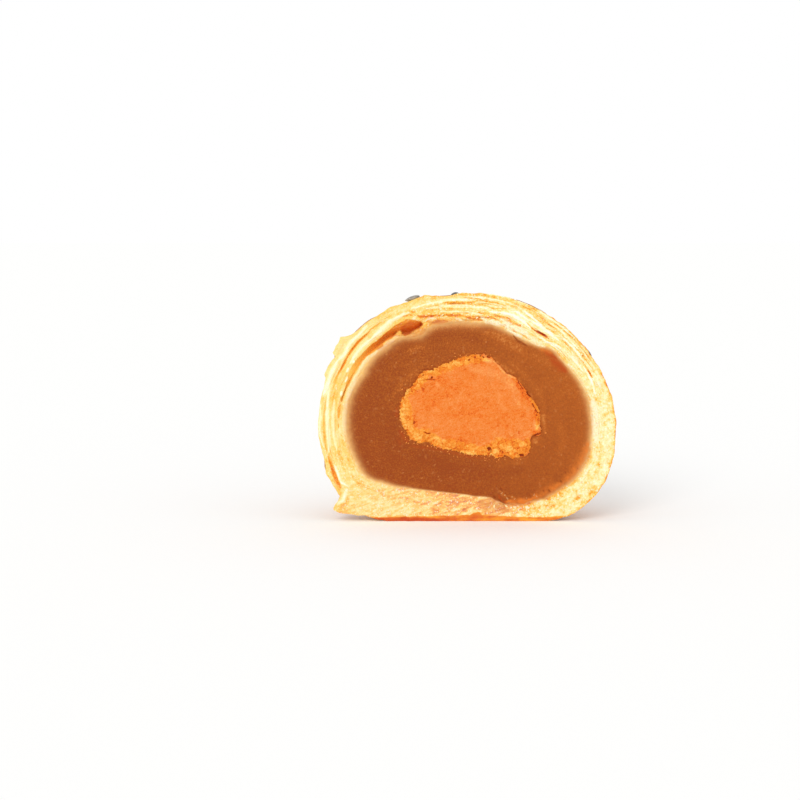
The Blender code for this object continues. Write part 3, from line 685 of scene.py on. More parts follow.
def inside_dome(ray, distance):
    z = CENTRE_Z + ray[..., 2] * distance
    low = z < WAIST_Z
    upper = mix(UPPER_POWER_RIGHT, UPPER_POWER_LEFT, 0.5 - 0.5 * ray[..., 0])
    power = np.where(low, LOWER_POWER, upper)
    height = np.where(low, DROP, RISE)
    across = np.hypot(ray[..., 0] * distance / HALF_WIDTH, ray[..., 1] * distance / DEPTH)
    return across**power + (np.abs(z - WAIST_Z) / height) ** power < 1


def dome_distance(ray):
    low = np.zeros(ray.shape[:-1])
    high = np.full(ray.shape[:-1], 2 * HALF_WIDTH)
    for _ in range(30):
        middle = (low + high) / 2
        inside = inside_dome(ray, middle)
        low = np.where(inside, middle, low)
        high = np.where(inside, high, middle)
    floor = (CENTRE_Z + BASE_CUT) / np.maximum(-ray[..., 2], 0.01)
    return np.where(ray[..., 2] >= -0.01, low, smooth_min(low, floor, BASE_ROUNDING))


def flake_offset(angle):
    total = np.zeros(np.shape(angle))
    for at, half, out in FLAKES:
        total += out * MM * np.maximum(0.0, 1 - ((angle % 360 - at) / half) ** 2)
    return total


def skin_places(angle, swing, relief=None, flaked=1.0):
    """Points of the outer skin. relief gives what lies on the part's own form, out from it."""
    ray = rays(angle, swing)
    distance = dome_distance(ray)
    back = ray[..., 1] * distance
    distance = distance + flaked * flake_offset(angle) * np.exp(-((back / FLAKE_REACH) ** 2))
    lumps = ripple(ray * distance[..., None] / LUMP_LENGTH)
    distance = distance + LUMP * lumps * ease(back / FLAKE_REACH)
    if relief is not None:
        distance = distance + relief(ray * distance[..., None], back)
    height = np.maximum(CENTRE_Z + ray[..., 2] * distance, 0.0)
    return stack(ray[..., 0] * distance, CUT_Y + ray[..., 1] * distance, height)


def bowl_places(angle, swing, radius, depth, centre=FACE_CENTRE):
    ray = rays(angle, swing)
    x = centre[0] + ray[..., 0] * radius
    z = centre[1] + ray[..., 2] * radius
    return stack(x, CUT_Y + ray[..., 1] * depth, z)


def flakiness(angle):
    return sector(angle % 360, FLAKY_FROM, FLAKY_EASE, FLAKY_TO, FLAKY_EASE)


def follow_rim(places, rim, back=None):
    """Moves what lies just behind the cut with the relief at its edge."""
    if back is None:
        back = places[..., 1] - CUT_Y
    places[..., 1] += rim[None] * np.maximum(0.0, 1 - back / RIM_REACH)


def from_photograph(column, row):
    """Where a pixel of the photograph lies on the cut face, as X and Z."""
    return (column - CENTRE_COLUMN) / PIXELS, (CENTRE_ROW - row) / PIXELS + CENTRE_Z


def traced_line(line, centre):
    """The angle about a centre, rising, and the radius of each pixel of a line."""
    x, z = from_photograph(*np.array(line).T)
    right, up = x - centre[0], z - centre[1]
    turn = np.degrees(np.arctan2(up, right)) % 360
    order = np.argsort(turn)
    return turn[order], np.hypot(right, up)[order]


def filling_radius(angle):
    """The paste's outline on the cut face, with a torn part at the lower right."""
    turn, radius = traced_line(PASTE_EDGE, FACE_CENTRE)
    torn = sector(angle % 360, 280, 8, 322, 8)
    grains = along_ring(angle, 0.0, 0.9 * MM, 1.0, 35.0) * (0.05 + 0.20 * torn)
    return np.interp(angle, turn, radius, period=360) - CLEARANCE / 2 + MM * grains


def yolk_radius(angle):
    """The yolk's ragged outline on the cut face."""
    turn, radius = traced_line(YOLK_EDGE, YOLK_CENTRE)
    grains = 0.10 * along_ring(angle, 0.0, 0.8 * MM, 1.0, 60.0)
    crumbly = step_up(angle % 360, 80, 120)
    grains += crumbly * 0.34 * along_ring(angle, 0.0, 0.6 * MM, 1.0, 63.0)
    return np.interp(angle, turn, radius, period=360) + MM * grains


def layer_edges(angle):
    """The share at which each layer starts, one row to a layer, and where the last one ends."""
    edges = [np.zeros_like(angle)]
    for layer in range(1, LAYERS):
        wobble = ripple(stack(angle / LAYER_RUN, 5.1 * layer, 3.0))
        short = along_ring(angle, 0.0, 2.6 * MM, 1.0, 7.0 * layer)
        shift = (LAYER_WOBBLE * wobble + 0.12 * short) * flakiness(angle)
        edges.append((layer + shift) / LAYERS)
    return np.array(edges + [np.ones_like(angle)])


def layer_depths(angle):
    steps = [ripple(stack(angle / LAYER_RUN, 7.7 * layer, 9.0)) for layer in range(LAYERS)]
    return LAYER_STEP * np.array(steps) * flakiness(angle)


def crevice_depths(angle, depth):
    """How deep each layer's edges are cut in, with none at the crust's own two edges."""
    rows = [np.zeros_like(angle)]
    for layer in range(1, LAYERS):
        long = along_ring(angle, 0.0, 9.0 * MM, 1.0, 11.0 * layer)
        short = along_ring(angle, 0.0, 2.2 * MM, 1.0, 13.0 * layer)
        found = depth * np.maximum(0.0, 0.10 + 1.2 * long + 0.6 * short)
        rows.append(found * ring_value(angle, LINED))
    return np.array(rows + [np.zeros_like(angle)])


def gap_depth(angle, share):
    (inner, outer, depth), inside = between_knots(angle, OPEN_GAP)
    across = (share - inner) / (outer - inner)
    return np.where(inside, depth * MM * ease(across / 0.2) * ease((1 - across) / 0.9), 0.0)


def groove_depth(angle, share, grooves):
    depth = np.zeros(np.broadcast(angle, share).shape)
    for groove in grooves:
        (centre, half, deepest), inside = between_knots(angle, groove)
        found = deepest * MM * np.exp(-(((share - centre) / half) ** 2))
        depth = np.maximum(depth, np.where(inside, found, 0.0))
    return depth


def on_photograph(places):
    """The photograph's column and row of each place of the cut face."""
    column = CENTRE_COLUMN + places[..., 0].ravel() * PIXELS
    row = CENTRE_ROW - (places[..., 2].ravel() - CENTRE_Z) * PIXELS
    return column, row


def from_segment(column, row, start, end):
    """How far each pixel lies from a line between two others, and how far along it."""
    run_x, run_y = end[0] - start[0], end[1] - start[1]
    right, down = column - start[0], row - start[1]
    along = np.clip((right * run_x + down * run_y) / (run_x**2 + run_y**2), 0, 1)
    return np.hypot(right - along * run_x, down - along * run_y), along


def depth_inside(places, outline):
    """How far each place lies inside an outline of the photograph, and below 0 outside it."""
    column, row = on_photograph(places)
    away = np.full(column.shape, np.inf)
    inside = np.zeros(column.shape, bool)
    for start, end in zip(outline, outline[1:] + outline[:1]):
        away = np.minimum(away, from_segment(column, row, start, end)[0])
        if start[1] != end[1]:
            crossing = start[0] + (end[0] - start[0]) * (row - start[1]) / (end[1] - start[1])
            inside ^= ((start[1] > row) != (end[1] > row)) & (column < crossing)
    return (np.where(inside, away, -away) / PIXELS).reshape(places.shape[:-1])


def covered(places, outline, outwards, inwards):
    """0 outside an outline of the photograph and 1 inside it, with a soft edge in mm."""
    return step_up(depth_inside(places, outline), -outwards * MM, inwards * MM)


def strokes(places, lines, crisp=2):
    """How strongly lines with thin ends cover each place of the cut face. The higher crisp
    is, the flatter they are and the sharper their edges."""
    column, row = on_photograph(places)
    cover = np.zeros(column.shape)
    for half, strength, points in lines:
        width = half * MM * PIXELS
        left, top = np.min(points, axis=0) - 3 * width
        right, bottom = np.max(points, axis=0) + 3 * width
        near = (column > left) & (column < right) & (row > top) & (row < bottom)
        near = np.flatnonzero(near)
        away = np.full(len(near), np.inf)
        taper = np.ones(len(near))
        for number, (start, end) in enumerate(zip(points, points[1:])):
            found, along = from_segment(column[near], row[near], start, end)
            place = 2 * (number + along) / (len(points) - 1) - 1
            taper = np.where(found < away, 1 - 0.6 * np.abs(place) ** 3, taper)
            away = np.minimum(away, found)
        found = strength * np.exp(-((away / (width * taper)) ** crisp))
        cover[near] = np.maximum(cover[near], found)
    return cover.reshape(places.shape[:-1])


def points_of(mesh):
    flat = np.empty(len(mesh.vertices) * 3, np.float32)
    mesh.vertices.foreach_get("co", flat)
    return flat.reshape(-1, 3).astype(float)


def set_points(mesh, places):
    mesh.vertices.foreach_set("co", np.asarray(places, np.float32).ravel())


def set_mark(mesh, name, values):
    """Gives the mesh an attribute, from a number or a vector for each of its points."""
    is_vector = values.ndim == 2
    mark = mesh.attributes.new(name, "FLOAT_VECTOR" if is_vector else "FLOAT", "POINT")
    data = values.astype(np.float32).ravel()
    mark.data.foreach_set("vector" if is_vector else "value", data)


def wrapped_grid(name, places, marks):
    """A closed surface through rows of places. Each row goes once round the cut face, and
    the first and the last row lie in one point. marks are attributes of the same places."""
    rows, columns = places.shape[:2]
    bpy.ops.object.select_all(action="DESELECT")
    bpy.ops.mesh.primitive_grid_add(x_subdivisions=columns, y_subdivisions=rows - 1, size=2)
    piece = bpy.context.object
    piece.name = piece.data.name = name
    mesh = piece.data
    across, up, _ = (points_of(mesh).T + 1) / 2
    column = np.rint(across * columns).astype(int) % columns
    row = np.rint(up * (rows - 1)).astype(int)
    set_points(mesh, places[row, column])
    for label, values in marks.items():
        set_mark(mesh, label, values[row, column])
    mesh.update()
    close_up()
    return piece


def close_up():
    """Merges the active piece's seam and poles, and turns every face outwards."""
    bpy.ops.object.mode_set(mode="EDIT")
    bpy.ops.mesh.select_all(action="SELECT")
    bpy.ops.mesh.remove_doubles(threshold=WELD)
    bpy.ops.mesh.normals_make_consistent(inside=False)
    bpy.ops.object.mode_set(mode="OBJECT")
    bpy.ops.object.shade_smooth()


def even_angles(columns):
    return np.arange(columns) * 360.0 / columns


def hidden_grid(angle, rows, inwards=False):
    """Angles and swings of the rows behind the cut face, from the pole or towards it."""
    ends = (FIRST_SWING, 90.0) if inwards else (90.0, FIRST_SWING)
    return np.meshgrid(angle, np.linspace(*ends, rows))


def with_hidden(values, after=0):
    """A mark of the face, and the same for the hidden rows before it and after it."""
    columns = values.shape[1]
    before = np.full((HIDDEN_ROWS, columns), values[0, 0])
    return np.concatenate([before, values, np.full((after, columns), values[-1, 0])])


class Value:
    """A number's socket, which adds Math nodes where it is used in an expression."""

    def __init__(self, recipe, socket):
        self.recipe = recipe
        self.socket = socket

    def math(self, operation, *others):
        values = dict(enumerate(others))
        return self.recipe.node("Math", {"operation": operation}, values)

    def __add__(self, other):
        return self.math("ADD", self, other)

    __radd__ = __add__

    def __sub__(self, other):
        return self.math("SUBTRACT", self, other)

    def __rsub__(self, other):
        return self.math("SUBTRACT", other, self)

    def __mul__(self, other):
        return self.math("MULTIPLY", self, other)

    __rmul__ = __mul__

    def __truediv__(self, other):
        return self.math("DIVIDE", self, other)

    def swing(self, amount):
        """What noise adds where it goes this far up and down."""
        return (self - 0.5) * amount

    def between(self, low, high):
        """0 up to low and 1 from high on, with a smooth rise between."""
        settings = {"interpolation_type": "SMOOTHSTEP"}
        values = {"Value": self, "From Min": low, "From Max": high}
        return self.recipe.node("MapRange", settings, values)


class Nodes:
    """The nodes of a material or of the world."""

    def __init__(self, owner):
        owner.use_nodes = True
        self.tree = owner.node_tree

    def node(self, kind, settings=None, values=None, output=0):
        """Adds a node: its settings first, then its sockets' values or links."""
        made = self.tree.nodes.new("ShaderNode" + kind)
        for name, value in (settings or {}).items():
            if name == "stops":
                self.set_stops(made.color_ramp.elements, value)
            else:
                setattr(made, name, value)
        self.fill(made, values or {})
        return Value(self, made.outputs[output])

    def fill(self, node, values):
        for name, value in values.items():
            socket = node.inputs[name]
            if isinstance(value, Value):
                self.tree.links.new(value.socket, socket)
            elif socket.type == "RGBA":
                socket.default_value = (*value, 1.0)
            else:
                socket.default_value = value

    def set_stops(self, elements, stops):
        while len(elements) < len(stops):
            elements.new(1.0)
        for element, (position, colour) in zip(elements, stops):
            element.position = position
            element.color = (*colour, 1.0)


class Recipe(Nodes):
    """A material's nodes and its surface."""

    def __init__(self, name):
        self.material = bpy.data.materials.new(name)
        super().__init__(self.material)
        self.shader = self.tree.nodes["Principled BSDF"]
        self.place = self.node("TexCoord", output="Object")

    def mark(self, name):
        """An attribute of the piece as a number."""
        return self.node("Attribute", {"attribute_name": name}, output="Fac")

    def mark_place(self, name):
        return self.node("Attribute", {"attribute_name": name}, output="Vector")

    def noise(self, size, place=None, detail=2.0, roughness=0.5):
        """Noise from 0 to 1 whose bumps are as large as size."""
        values = {"Vector": place or self.place, "Scale": 1 / size,
                  "Detail": detail, "Roughness": roughness}
        return self.node("TexNoise", None, values)

    def axis(self, letter):
        """One of the piece's own co-ordinates."""
        return self.node("SeparateXYZ", None, {"Vector": self.place}, output=letter)

    def drawn_out(self, squeeze, degrees=0.0):
        """The piece's places turned about Y and squeezed along Z, for noise in lines."""
        place = self.place
        if degrees:
            values = {"Vector": place, "Rotation": (0.0, math.radians(degrees), 0.0)}
            place = self.node("Mapping", {"vector_type": "POINT"}, values)
        values = {"Vector": place, "Scale": (1.0, 1.0, squeeze)}
        return self.node("Mapping", {"vector_type": "POINT"}, values)

    def warped(self, size, reach):
        """The piece's places moved about by noise, for ragged cells."""
        values = {"Vector": self.place, "Scale": 1 / size, "Detail": 2.0}
        sway = self.node("TexNoise", None, values, output="Color")
        return self.node("VectorMath", {"operation": "MULTIPLY_ADD"},
                         {0: sway, 1: (reach, reach, reach), 2: self.place})

    def blend(self, low, high, share):
        """One colour that turns into another."""
        settings = {"data_type": "RGBA", "clamp_factor": True}
        return self.node("Mix", settings, {0: share, 6: low, 7: high}, output=2)

    def coats(self, body, *coats):
        """A colour with others laid over it, each as (colour, share)."""
        for over, share in coats:
            body = self.blend(body, over, share)
        return body

    def ramp(self, share, stops):
        return self.node("ValToRGB", {"stops": stops}, {"Fac": share})

    def bump(self, height, distance, strength=1.0, under=None):
        """Raises the surface by height, where 1 stands for the distance."""
        values = {"Height": height, "Distance": distance, "Strength": strength}
        if under is not None:
            values["Normal"] = under
        return self.node("Bump", None, values, output="Normal")

    def finish(self, piece, **sockets):
        """Sets the surface's own sockets and puts the material on the piece."""
        self.fill(self.shader, {name.replace("_", " "): value for name, value in sockets.items()})
        piece.data.materials.clear()
        piece.data.materials.append(self.material)


def colour(label, words, value):
    return FloatVectorProperty(name=label, description=words, subtype="COLOR", size=3,
                               min=0.0, max=1.0, default=value)


def length(label, words, value):
    return FloatProperty(name=label, description=words, unit="LENGTH", min=0.0, precision=5,
                         default=value)


def amount(label, words, value):
    return FloatProperty(name=label, description=words, default=value)


class CrustSettings(bpy.types.PropertyGroup):
    crevice: length("Crevice depth", "How deep the edges between layers are cut in", 0.42 * MM)
    streak: length("Streak height", "Relief that follows the layers", 0.10 * MM)
    crumb: length("Crumb height", "Relief of the crumb on the cut face", 0.13 * MM)
    ragged: length("Ragged edge", "How far the edge of the cut wanders", 0.20 * MM)
    wrinkle: length("Skin relief", "Height of the small lumps on the skin", 0.11 * MM)
    bare_step: length("Flaked step", "How deep the skin has flaked off at the cut", 0.28 * MM)
    mottle: amount("Mottle", "Contrast of the patches", 0.90)
    speckle: amount("Speckle", "Contrast of the grain", 0.85)
    lining: amount("Lining", "Contrast of the lines", 0.50)
    white: colour("White crumb", "The palest crumb", paint(255, 252, 232))
    pale: colour("Pale crumb", "The pale yellow crumb", paint(254, 246, 203))
    cream: colour("Cream crumb", "The cream crumb", paint(253, 236, 177))
    yellow: colour("Yellow crumb", "The yellow crumb", paint(253, 221, 144))
    # Amber, orange, rust and deep also give the painted shade in the grooves, cracks and open gap.
    amber: colour("Amber crumb", "Butter-soaked sheets and shallow hollows", paint(252, 200, 96))
    orange: colour("Orange crumb", "The walls of the open gap", paint(244, 162, 50))
    rust: colour("Rust crumb", "The browned edge", paint(220, 110, 40))
    deep: colour("Deep crumb", "The bottom of the open gap", paint(200, 80, 30))
    dry: colour("Dry crumb", "Chalky crumb at the inner edge", paint(251, 241, 206))
    seam: colour("Seam", "Crumb that the paste has stained", paint(222, 163, 98))
    oiled: colour("Oiled crumb", "Crumb that the paste's oil has soaked", paint(214, 134, 66))
    peach: colour("Peach crumb", "The crumb over the base", paint(254, 214, 158))
    skin_pale: colour("Pale skin", "Skin with little egg wash", paint(218, 172, 120))
    skin_tan: colour("Tan skin", "Skin with some egg wash", paint(200, 138, 78))
    skin_brown: colour("Brown skin", "Skin with most egg wash", paint(188, 100, 42))
    skin_dark: colour("Dark skin", "The most baked spots", paint(162, 74, 28))


class FillingSettings(bpy.types.PropertyGroup):
    relief: length("Relief", "Height of the marks that the knife left", 0.035 * MM)
    dark: colour("Dark paste", "The paste at its darkest", paint(151, 70, 28))
    middle: colour("Paste", "The paste", paint(163, 83, 31))
    light: colour("Light paste", "The paste where it is lighter", paint(179, 94, 34))
    palest: colour("Pale paste", "The paste at its lightest", paint(204, 124, 58))
    edge: colour("Paste edge", "The thin edge over the crust", paint(222, 163, 98))
    # Red paste is partly oily paste and partly painted shade beside the yolk and by the crust.
    red: colour("Red paste", "Oily paste beside the yolk", paint(180, 72, 24))
    glow: colour("Orange paste", "Oily paste over the crust", paint(222, 122, 46))
    speck: colour("Speck", "Small pale grains", paint(218, 144, 82))


class YolkSettings(bpy.types.PropertyGroup):
    grain: length("Grain height", "Relief of the grains", 0.20 * MM)
    proud: length("Proud", "How far the yolk stands out of the paste", 0.12 * MM)
    # Pore is the colour of the painted shade in the pits and cracks.
    pore: colour("Pore", "Pits and cracks", paint(150, 58, 24))
    ember: colour("Ember", "The deepest orange", paint(226, 96, 26))
    heart: colour("Heart", "The smooth middle, darker", paint(233, 123, 40))
    middle: colour("Middle", "The smooth middle", paint(234, 133, 60))
    fair: colour("Fair", "The smooth middle, lighter", paint(239, 150, 80))
    amber: colour("Amber", "The rim, darker", paint(234, 133, 38))
    rim: colour("Rim", "The drier granular rim", paint(240, 149, 53))
    pale: colour("Pale grain", "Pale grains", paint(249, 171, 76))
    palest: colour("Palest grain", "The palest grains", paint(252, 191, 98))


class SeedSettings(bpy.types.PropertyGroup):
    length: length("Length", "A seed's length", 2.9 * MM)
    width: length("Width", "A seed's width", 1.7 * MM)
    height: length("Height", "A seed's thickness", 1.1 * MM)
    black: colour("Black", "The seed's dark skin", paint(42, 40, 38))
    # Grey patches are partly dust and wear and partly a painted sheen.
    grey_dust_and_sheen: colour("Grey", "Its worn and dusty places", paint(112, 108, 100))
    worn: colour("Worn", "A seed that has lost its dark skin", paint(186, 176, 164))


class CrumbSettings(bpy.types.PropertyGroup):
    yolk_count: IntProperty(name="Yolk crumbs", description="Grains round the yolk", default=90)
    flake_count: IntProperty(name="Flakes", description="Loose flakes on the cut", default=70)


class StageSettings(bpy.types.PropertyGroup):
    floor_size: length("Floor", "The floor's width", 3.0)
    distance: length("Camera distance", "From the camera to the cut face", 411.5 * MM)
    lens: amount("Lens", "Focal length in mm", 100.0)
    elevation: FloatProperty(name="Elevation", description="How far the camera looks down",
                             subtype="ANGLE", default=math.radians(6.0))
    ambient: amount("Ambient", "Strength of the even light", 0.80)
    key: amount("Key", "Strength of the main lamp", 1.0)
    backdrop: amount("Backdrop", "Brightness behind", 1.0)
    lift: amount("Lift", "How much light the pale floor adds", 0.06)
    white: colour("Floor white", "The pale floor", paint(252, 252, 251))


def layer_rows(angle, look):
    """The rows of the cut face's grid, from its outer edge inwards: each one's share, the
    depth of its layer, how far it lies in a crevice and how far its layer bulges out."""
    edges = layer_edges(angle)
    depths = layer_depths(angle)
    crevices = crevice_depths(angle, look.crevice)
    rows = [(LAYERS - 1, 1.0)]
    rows += [(layer, place) for layer in reversed(range(LAYERS)) for place in LAYER_PLACES]
    share, depth, crevice, bulge = [], [], [], []
    for layer, place in rows:
        here = mix(edges[layer], edges[layer + 1], place)
        share.append(here)
        neighbour = depths[min(max(layer + (1 if place > 0.5 else -1), 0), LAYERS - 1)]
        away = min(place, 1 - place)
        over = 0.5 * float(ease(np.array(1 - away / LAYER_GAP)))
        depth.append(mix(depths[layer], neighbour, over))
        low = crevices[layer] * np.exp(-(((here - edges[layer]) / CREVICE_HALF) ** 2))
        high = crevices[layer + 1] * np.exp(-(((here - edges[layer + 1]) / CREVICE_HALF) ** 2))
        crevice.append(np.maximum(low, high))
        bulge.append(np.full_like(angle, -LAYER_BULGE * 4 * place * (1 - place)))
    return [np.array(part) for part in (share, depth, crevice, bulge)]


def crust_face(angle, look):
    """The cut face's places, from its outer edge inwards, their relief and their marks."""
    share, depth, crevice, bulge = layer_rows(angle, look)
    whole = np.broadcast_to(angle, share.shape)
    turned = ease((share - FLAKED_FROM) / (1 - FLAKED_FROM))
    ragged = rim_wander(angle, look) * turned
    edge = skin_places(whole, np.zeros_like(whole), lambda place, back: ragged, turned)
    inner = bowl_places(angle, 0.0, filling_radius(angle) + CLEARANCE, 0.0)
    thickness = np.linalg.norm(edge[-1] - inner, axis=-1)
    places = mix(inner[None], edge, share[..., None])
    across = share * thickness
    flaky = flakiness(angle)[None]
    lined = ring_value(angle, LINED)[None]

    frayed, fray = swayed(places, 0.7, 0.12)
    cracks = strokes(frayed, SHADED_CRACKS, 4)
    lit_ridges = strokes(frayed, LIT_RIDGES, 3)
    whites = strokes(frayed, WHITES, 3)
    cracked = np.maximum(0.20 * MM * cracks, crevice)
    narrow = [np.array(groove) * GROOVE_SCALE for groove in GROOVES]
    grooves = groove_depth(whole, share, narrow)
    in_gap = covered(frayed, GAP, 0.05, 0.10)
    on_shelf = covered(frayed, GAP_SHELF, 0.12, 0.12)
    in_pit = covered(frayed, GAP_PIT, 0.08, 0.10)
    on_base = covered(frayed, BROWN_BASE, 0.12, 0.12)
    crumb_noise = bumps(places, 1.1) + 0.6 * bumps(places, 0.5, 30)
    porous = step_up(bumps(places, 0.8, 60), 0.40, 0.62)
    long_streak = along_ring(whole, across, 5.0 * MM, 0.5 * MM, 3.0)
    short_streak = along_ring(whole, across, 1.4 * MM, 0.32 * MM, 5.0)
    chip = step_up(along_ring(whole, across, 3.2 * MM, 0.8 * MM, 9.0), 0.12, 0.2)
    combing = scratches(places, 32, 2.6, 0.8, 5)
    lower_left = sector(whole, 218, 14, 290, 20)

    low = look.streak * (long_streak + 0.6 * short_streak) * (0.25 + 0.75 * lined)
    low += 0.10 * MM * chip * lined
    low += look.crumb * crumb_noise * (1 - 0.7 * flaky)
    low += 0.15 * MM * combing * lower_left
    low += 0.16 * MM * porous * (1 - flaky)
    hollow = gap_depth(whole, share) * (0.35 + 0.65 * in_gap) + MM * (0.25 * in_gap + 0.1 * in_pit)
    total = depth + hollow + grooves + cracked + bulge * flaky + low
    total += CRUMB * ripple(places / CRUMB_LENGTH) - 0.10 * MM * lit_ridges - 0.12 * MM * whites
    total *= step_up(across, -0.2 * MM, 0.7 * MM)
    total += 0.08 * MM * np.exp((across - thickness) / (0.1 * MM))
    places[..., 1] += total

    brown_line = np.interp(angle % 360, *np.array(BROWNED_FROM).T, left=1.2, right=1.2)
    wander = 0.05 * along_ring(whole, across, 3.0 * MM, 0.8 * MM, 15.0)
    toast = step_up(share + wander, brown_line - 0.03, brown_line + 0.05)
    # The open gap's tone is painted shade: orange on its walls, darker on the shelf and darkest in
    # the pit.
    painted_gap_shade = 0.18 + 0.20 * step_up(whole, 134, 162) + 0.05 * long_streak
    painted_gap_shade = mix(mix(painted_gap_shade, 0.20, on_shelf), 0.13 + 0.04 * fray, in_pit)
    golden = ring_value(whole, GOLDEN) * np.exp(-(((across - thickness) / (0.36 * MM)) ** 2))

    near_paste, midway, near_skin = (ring_value(whole, values) for values in TONES)
    tone = mix(near_paste, midway, step_up(share, 0.2, 0.5))
    tone = mix(tone, near_skin, step_up(share, 0.5, 0.8))
    # Painted light and shade: paler on the raised ridge lines as painted highlights, darker where
    # the fine relief sinks as painted shade; the golden outer edge is the crumb's own colour.
    tone += 0.42 * (lit_ridges - golden) - (0.5 + 0.4 * flaky) * low / MM
    tone += 0.06 * along_ring(whole, across, 8.0 * MM, 1.1 * MM, 33.0)
    # Painted shade: darker in the grooves, in the crevices between layers and in the cracks; the
    # stains are the crumb's own amber and toasted colour.
    tone -= strokes(frayed, STAINS) + 0.10 * np.clip(grooves / (0.7 * MM), 0, 1)
    tone -= 0.20 * np.clip(crevice / (0.4 * MM), 0, 1.2)
    tone = mix(tone, 0.18, np.clip(cracks, 0, 1)) - 0.3 * np.clip(cracks - 1, 0, 1)
    tone = mix(tone, painted_gap_shade, in_gap)
    # On the toasted edge the tone also falls where the relief sinks, as painted shade.
    tone = mix(tone, 0.26 + 0.12 * long_streak - 0.8 * low / MM, 0.5 * toast * (1 - on_base))
    burnt = step_up(-places[..., 0], -8 * MM, 12 * MM)
    burnt = burnt * step_up(0.9 * MM - places[..., 2], 0, 0.5 * MM)
    baked = 0.12 * ripple(places * np.array([0.25, 1, 1.6]) / (1.0 * MM) + 43)
    tone = mix(tone, 0.19 - 0.17 * burnt + baked + 0.06 * fray, on_base)
    smears = strokes(frayed, SMEARS, 3) * (0.8 + 0.9 * fray)
    tone = mix(tone, 0.12 + 0.15 * fray, np.clip(smears, 0, 1))
    from_paste = across / MM / (SOFTNESS * ring_value(whole, SOFT)) + 0.25 * fray
    marks = {
        "tone": tone,
        "stained": np.exp(-(np.maximum(from_paste, 0) ** 1.6)),
        "white": whites * (1 - in_gap) * (1 - on_base),
        "oiled": strokes(frayed, OILED) * (1 - in_pit) * (1 + 0.5 * fray),
        "lined": np.broadcast_to(lined, share.shape),
        "combed": sector(whole, 205, 20, 310, 20) * (1 - on_base),
        "grainy": ring_value(whole, GRAINY) * (1 - 0.7 * in_gap) * (1 - on_base),
        "skin": np.zeros_like(share),
        "bare": np.zeros_like(share),
        "grain_place": ring_coordinates(whole, across),
    }
    return places, total, marks


def ring_coordinates(angle, across):
    """Places for patterns drawn out along the layers."""
    turn = np.radians(angle)
    return stack(RING * np.cos(turn), RING * np.sin(turn), across * RING_STRETCH)


def rim_wander(angle, look):
    """How far the edge of the cut lies out of its rule: along the torn edge on the left, and
    by chance elsewhere."""
    coarse = along_ring(angle, 0.0, 2.4 * MM, 1.0, 25.0)
    fine = along_ring(angle, 0.0, 0.9 * MM, 1.0, 27.0)
    torn = step_up(along_ring(angle, 0.0, 1.8 * MM, 1.0, 29.0), 0.05, 0.12)
    chance = look.ragged * (0.35 * coarse + 0.4 * fine + 0.4 * torn)
    turn, radius = traced_line(TORN_EDGE, FACE_CENTRE)
    rule = skin_places(angle, np.zeros_like(angle)) - np.array([0, CUT_Y, CENTRE_Z])
    drawn = np.interp(angle, turn, radius) - np.linalg.norm(rule, axis=-1)
    drawn += 0.4 * look.ragged * fine
    return mix(chance, drawn, sector(angle, turn[0], 4, turn[-1], 3))


def crust_skin(angle, rim_depth, look):
    """The outer skin's places, from the pole to just behind the cut, and their marks."""
    step = np.arange(SKIN_ROWS, 0, -1) / SKIN_ROWS
    swing = 90.0 * step**SKIN_CROWDING
    whole, swings = np.meshgrid(angle, swing)
    ragged = rim_wander(angle, look)
    seen = {}

    def relief(place, back):
        reach = bare_reach(whole, place)
        bare = step_up(reach - back, -0.12 * MM, 0.12 * MM)
        small = bumps(place, 4.2, 5) + 0.5 * bumps(place, 1.7, 9)
        flakes = bumps(place, 1.3, 13)
        out = look.wrinkle * small * ease(back / (2 * MM))
        out += (0.07 * MM * flakes - look.bare_step) * bare * ease(back / (0.6 * MM))
        out += ragged[None] * np.exp(-((back / (1.2 * MM)) ** 2))
        seen["bare"] = bare
        seen["back"] = back
        return out

    places = skin_places(whole, swings, relief)
    follow_rim(places, rim_depth, seen["back"])
    marks = plain_marks(whole, 30 * MM + seen["back"])
    marks["skin"] = np.ones_like(whole)
    marks["bare"] = seen["bare"]
    return places, marks


def plain_marks(angle, across):
    """The crust's marks away from the cut face."""
    marks = dict.fromkeys(FACE_MARKS, np.zeros_like(angle))
    marks["tone"] = np.full_like(angle, 0.5)
    marks["grain_place"] = ring_coordinates(angle, across)
    return marks


def bare_reach(angle, place):
    """How far back from the cut the brown skin has flaked off."""
    reach = np.interp(angle % 360, *np.array(BARE_REACH).T)
    wander = bumps(place, 3.0, 40) + 0.6 * bumps(place, 1.1, 44)
    return (reach * (1 + 0.9 * wander) - 0.1) * MM


def crust_cavity(angle, rim_depth):
    """The crust's inner wall, behind the filling."""
    whole, swings = hidden_grid(angle, CAVITY_ROWS, inwards=True)
    radius = filling_radius(whole) + CLEARANCE
    places = bowl_places(whole, swings, radius, FILLING_DEPTH + CLEARANCE)
    follow_rim(places, rim_depth)
    return places, plain_marks(whole, 0.0 * whole)


def joined_rows(*parts):
    """Rows of places and marks, one part after another."""
    places = np.concatenate([place for place, _ in parts])
    names = parts[0][1]
    marks = {name: np.concatenate([marks[name] for _, marks in parts]) for name in names}
    return places, marks


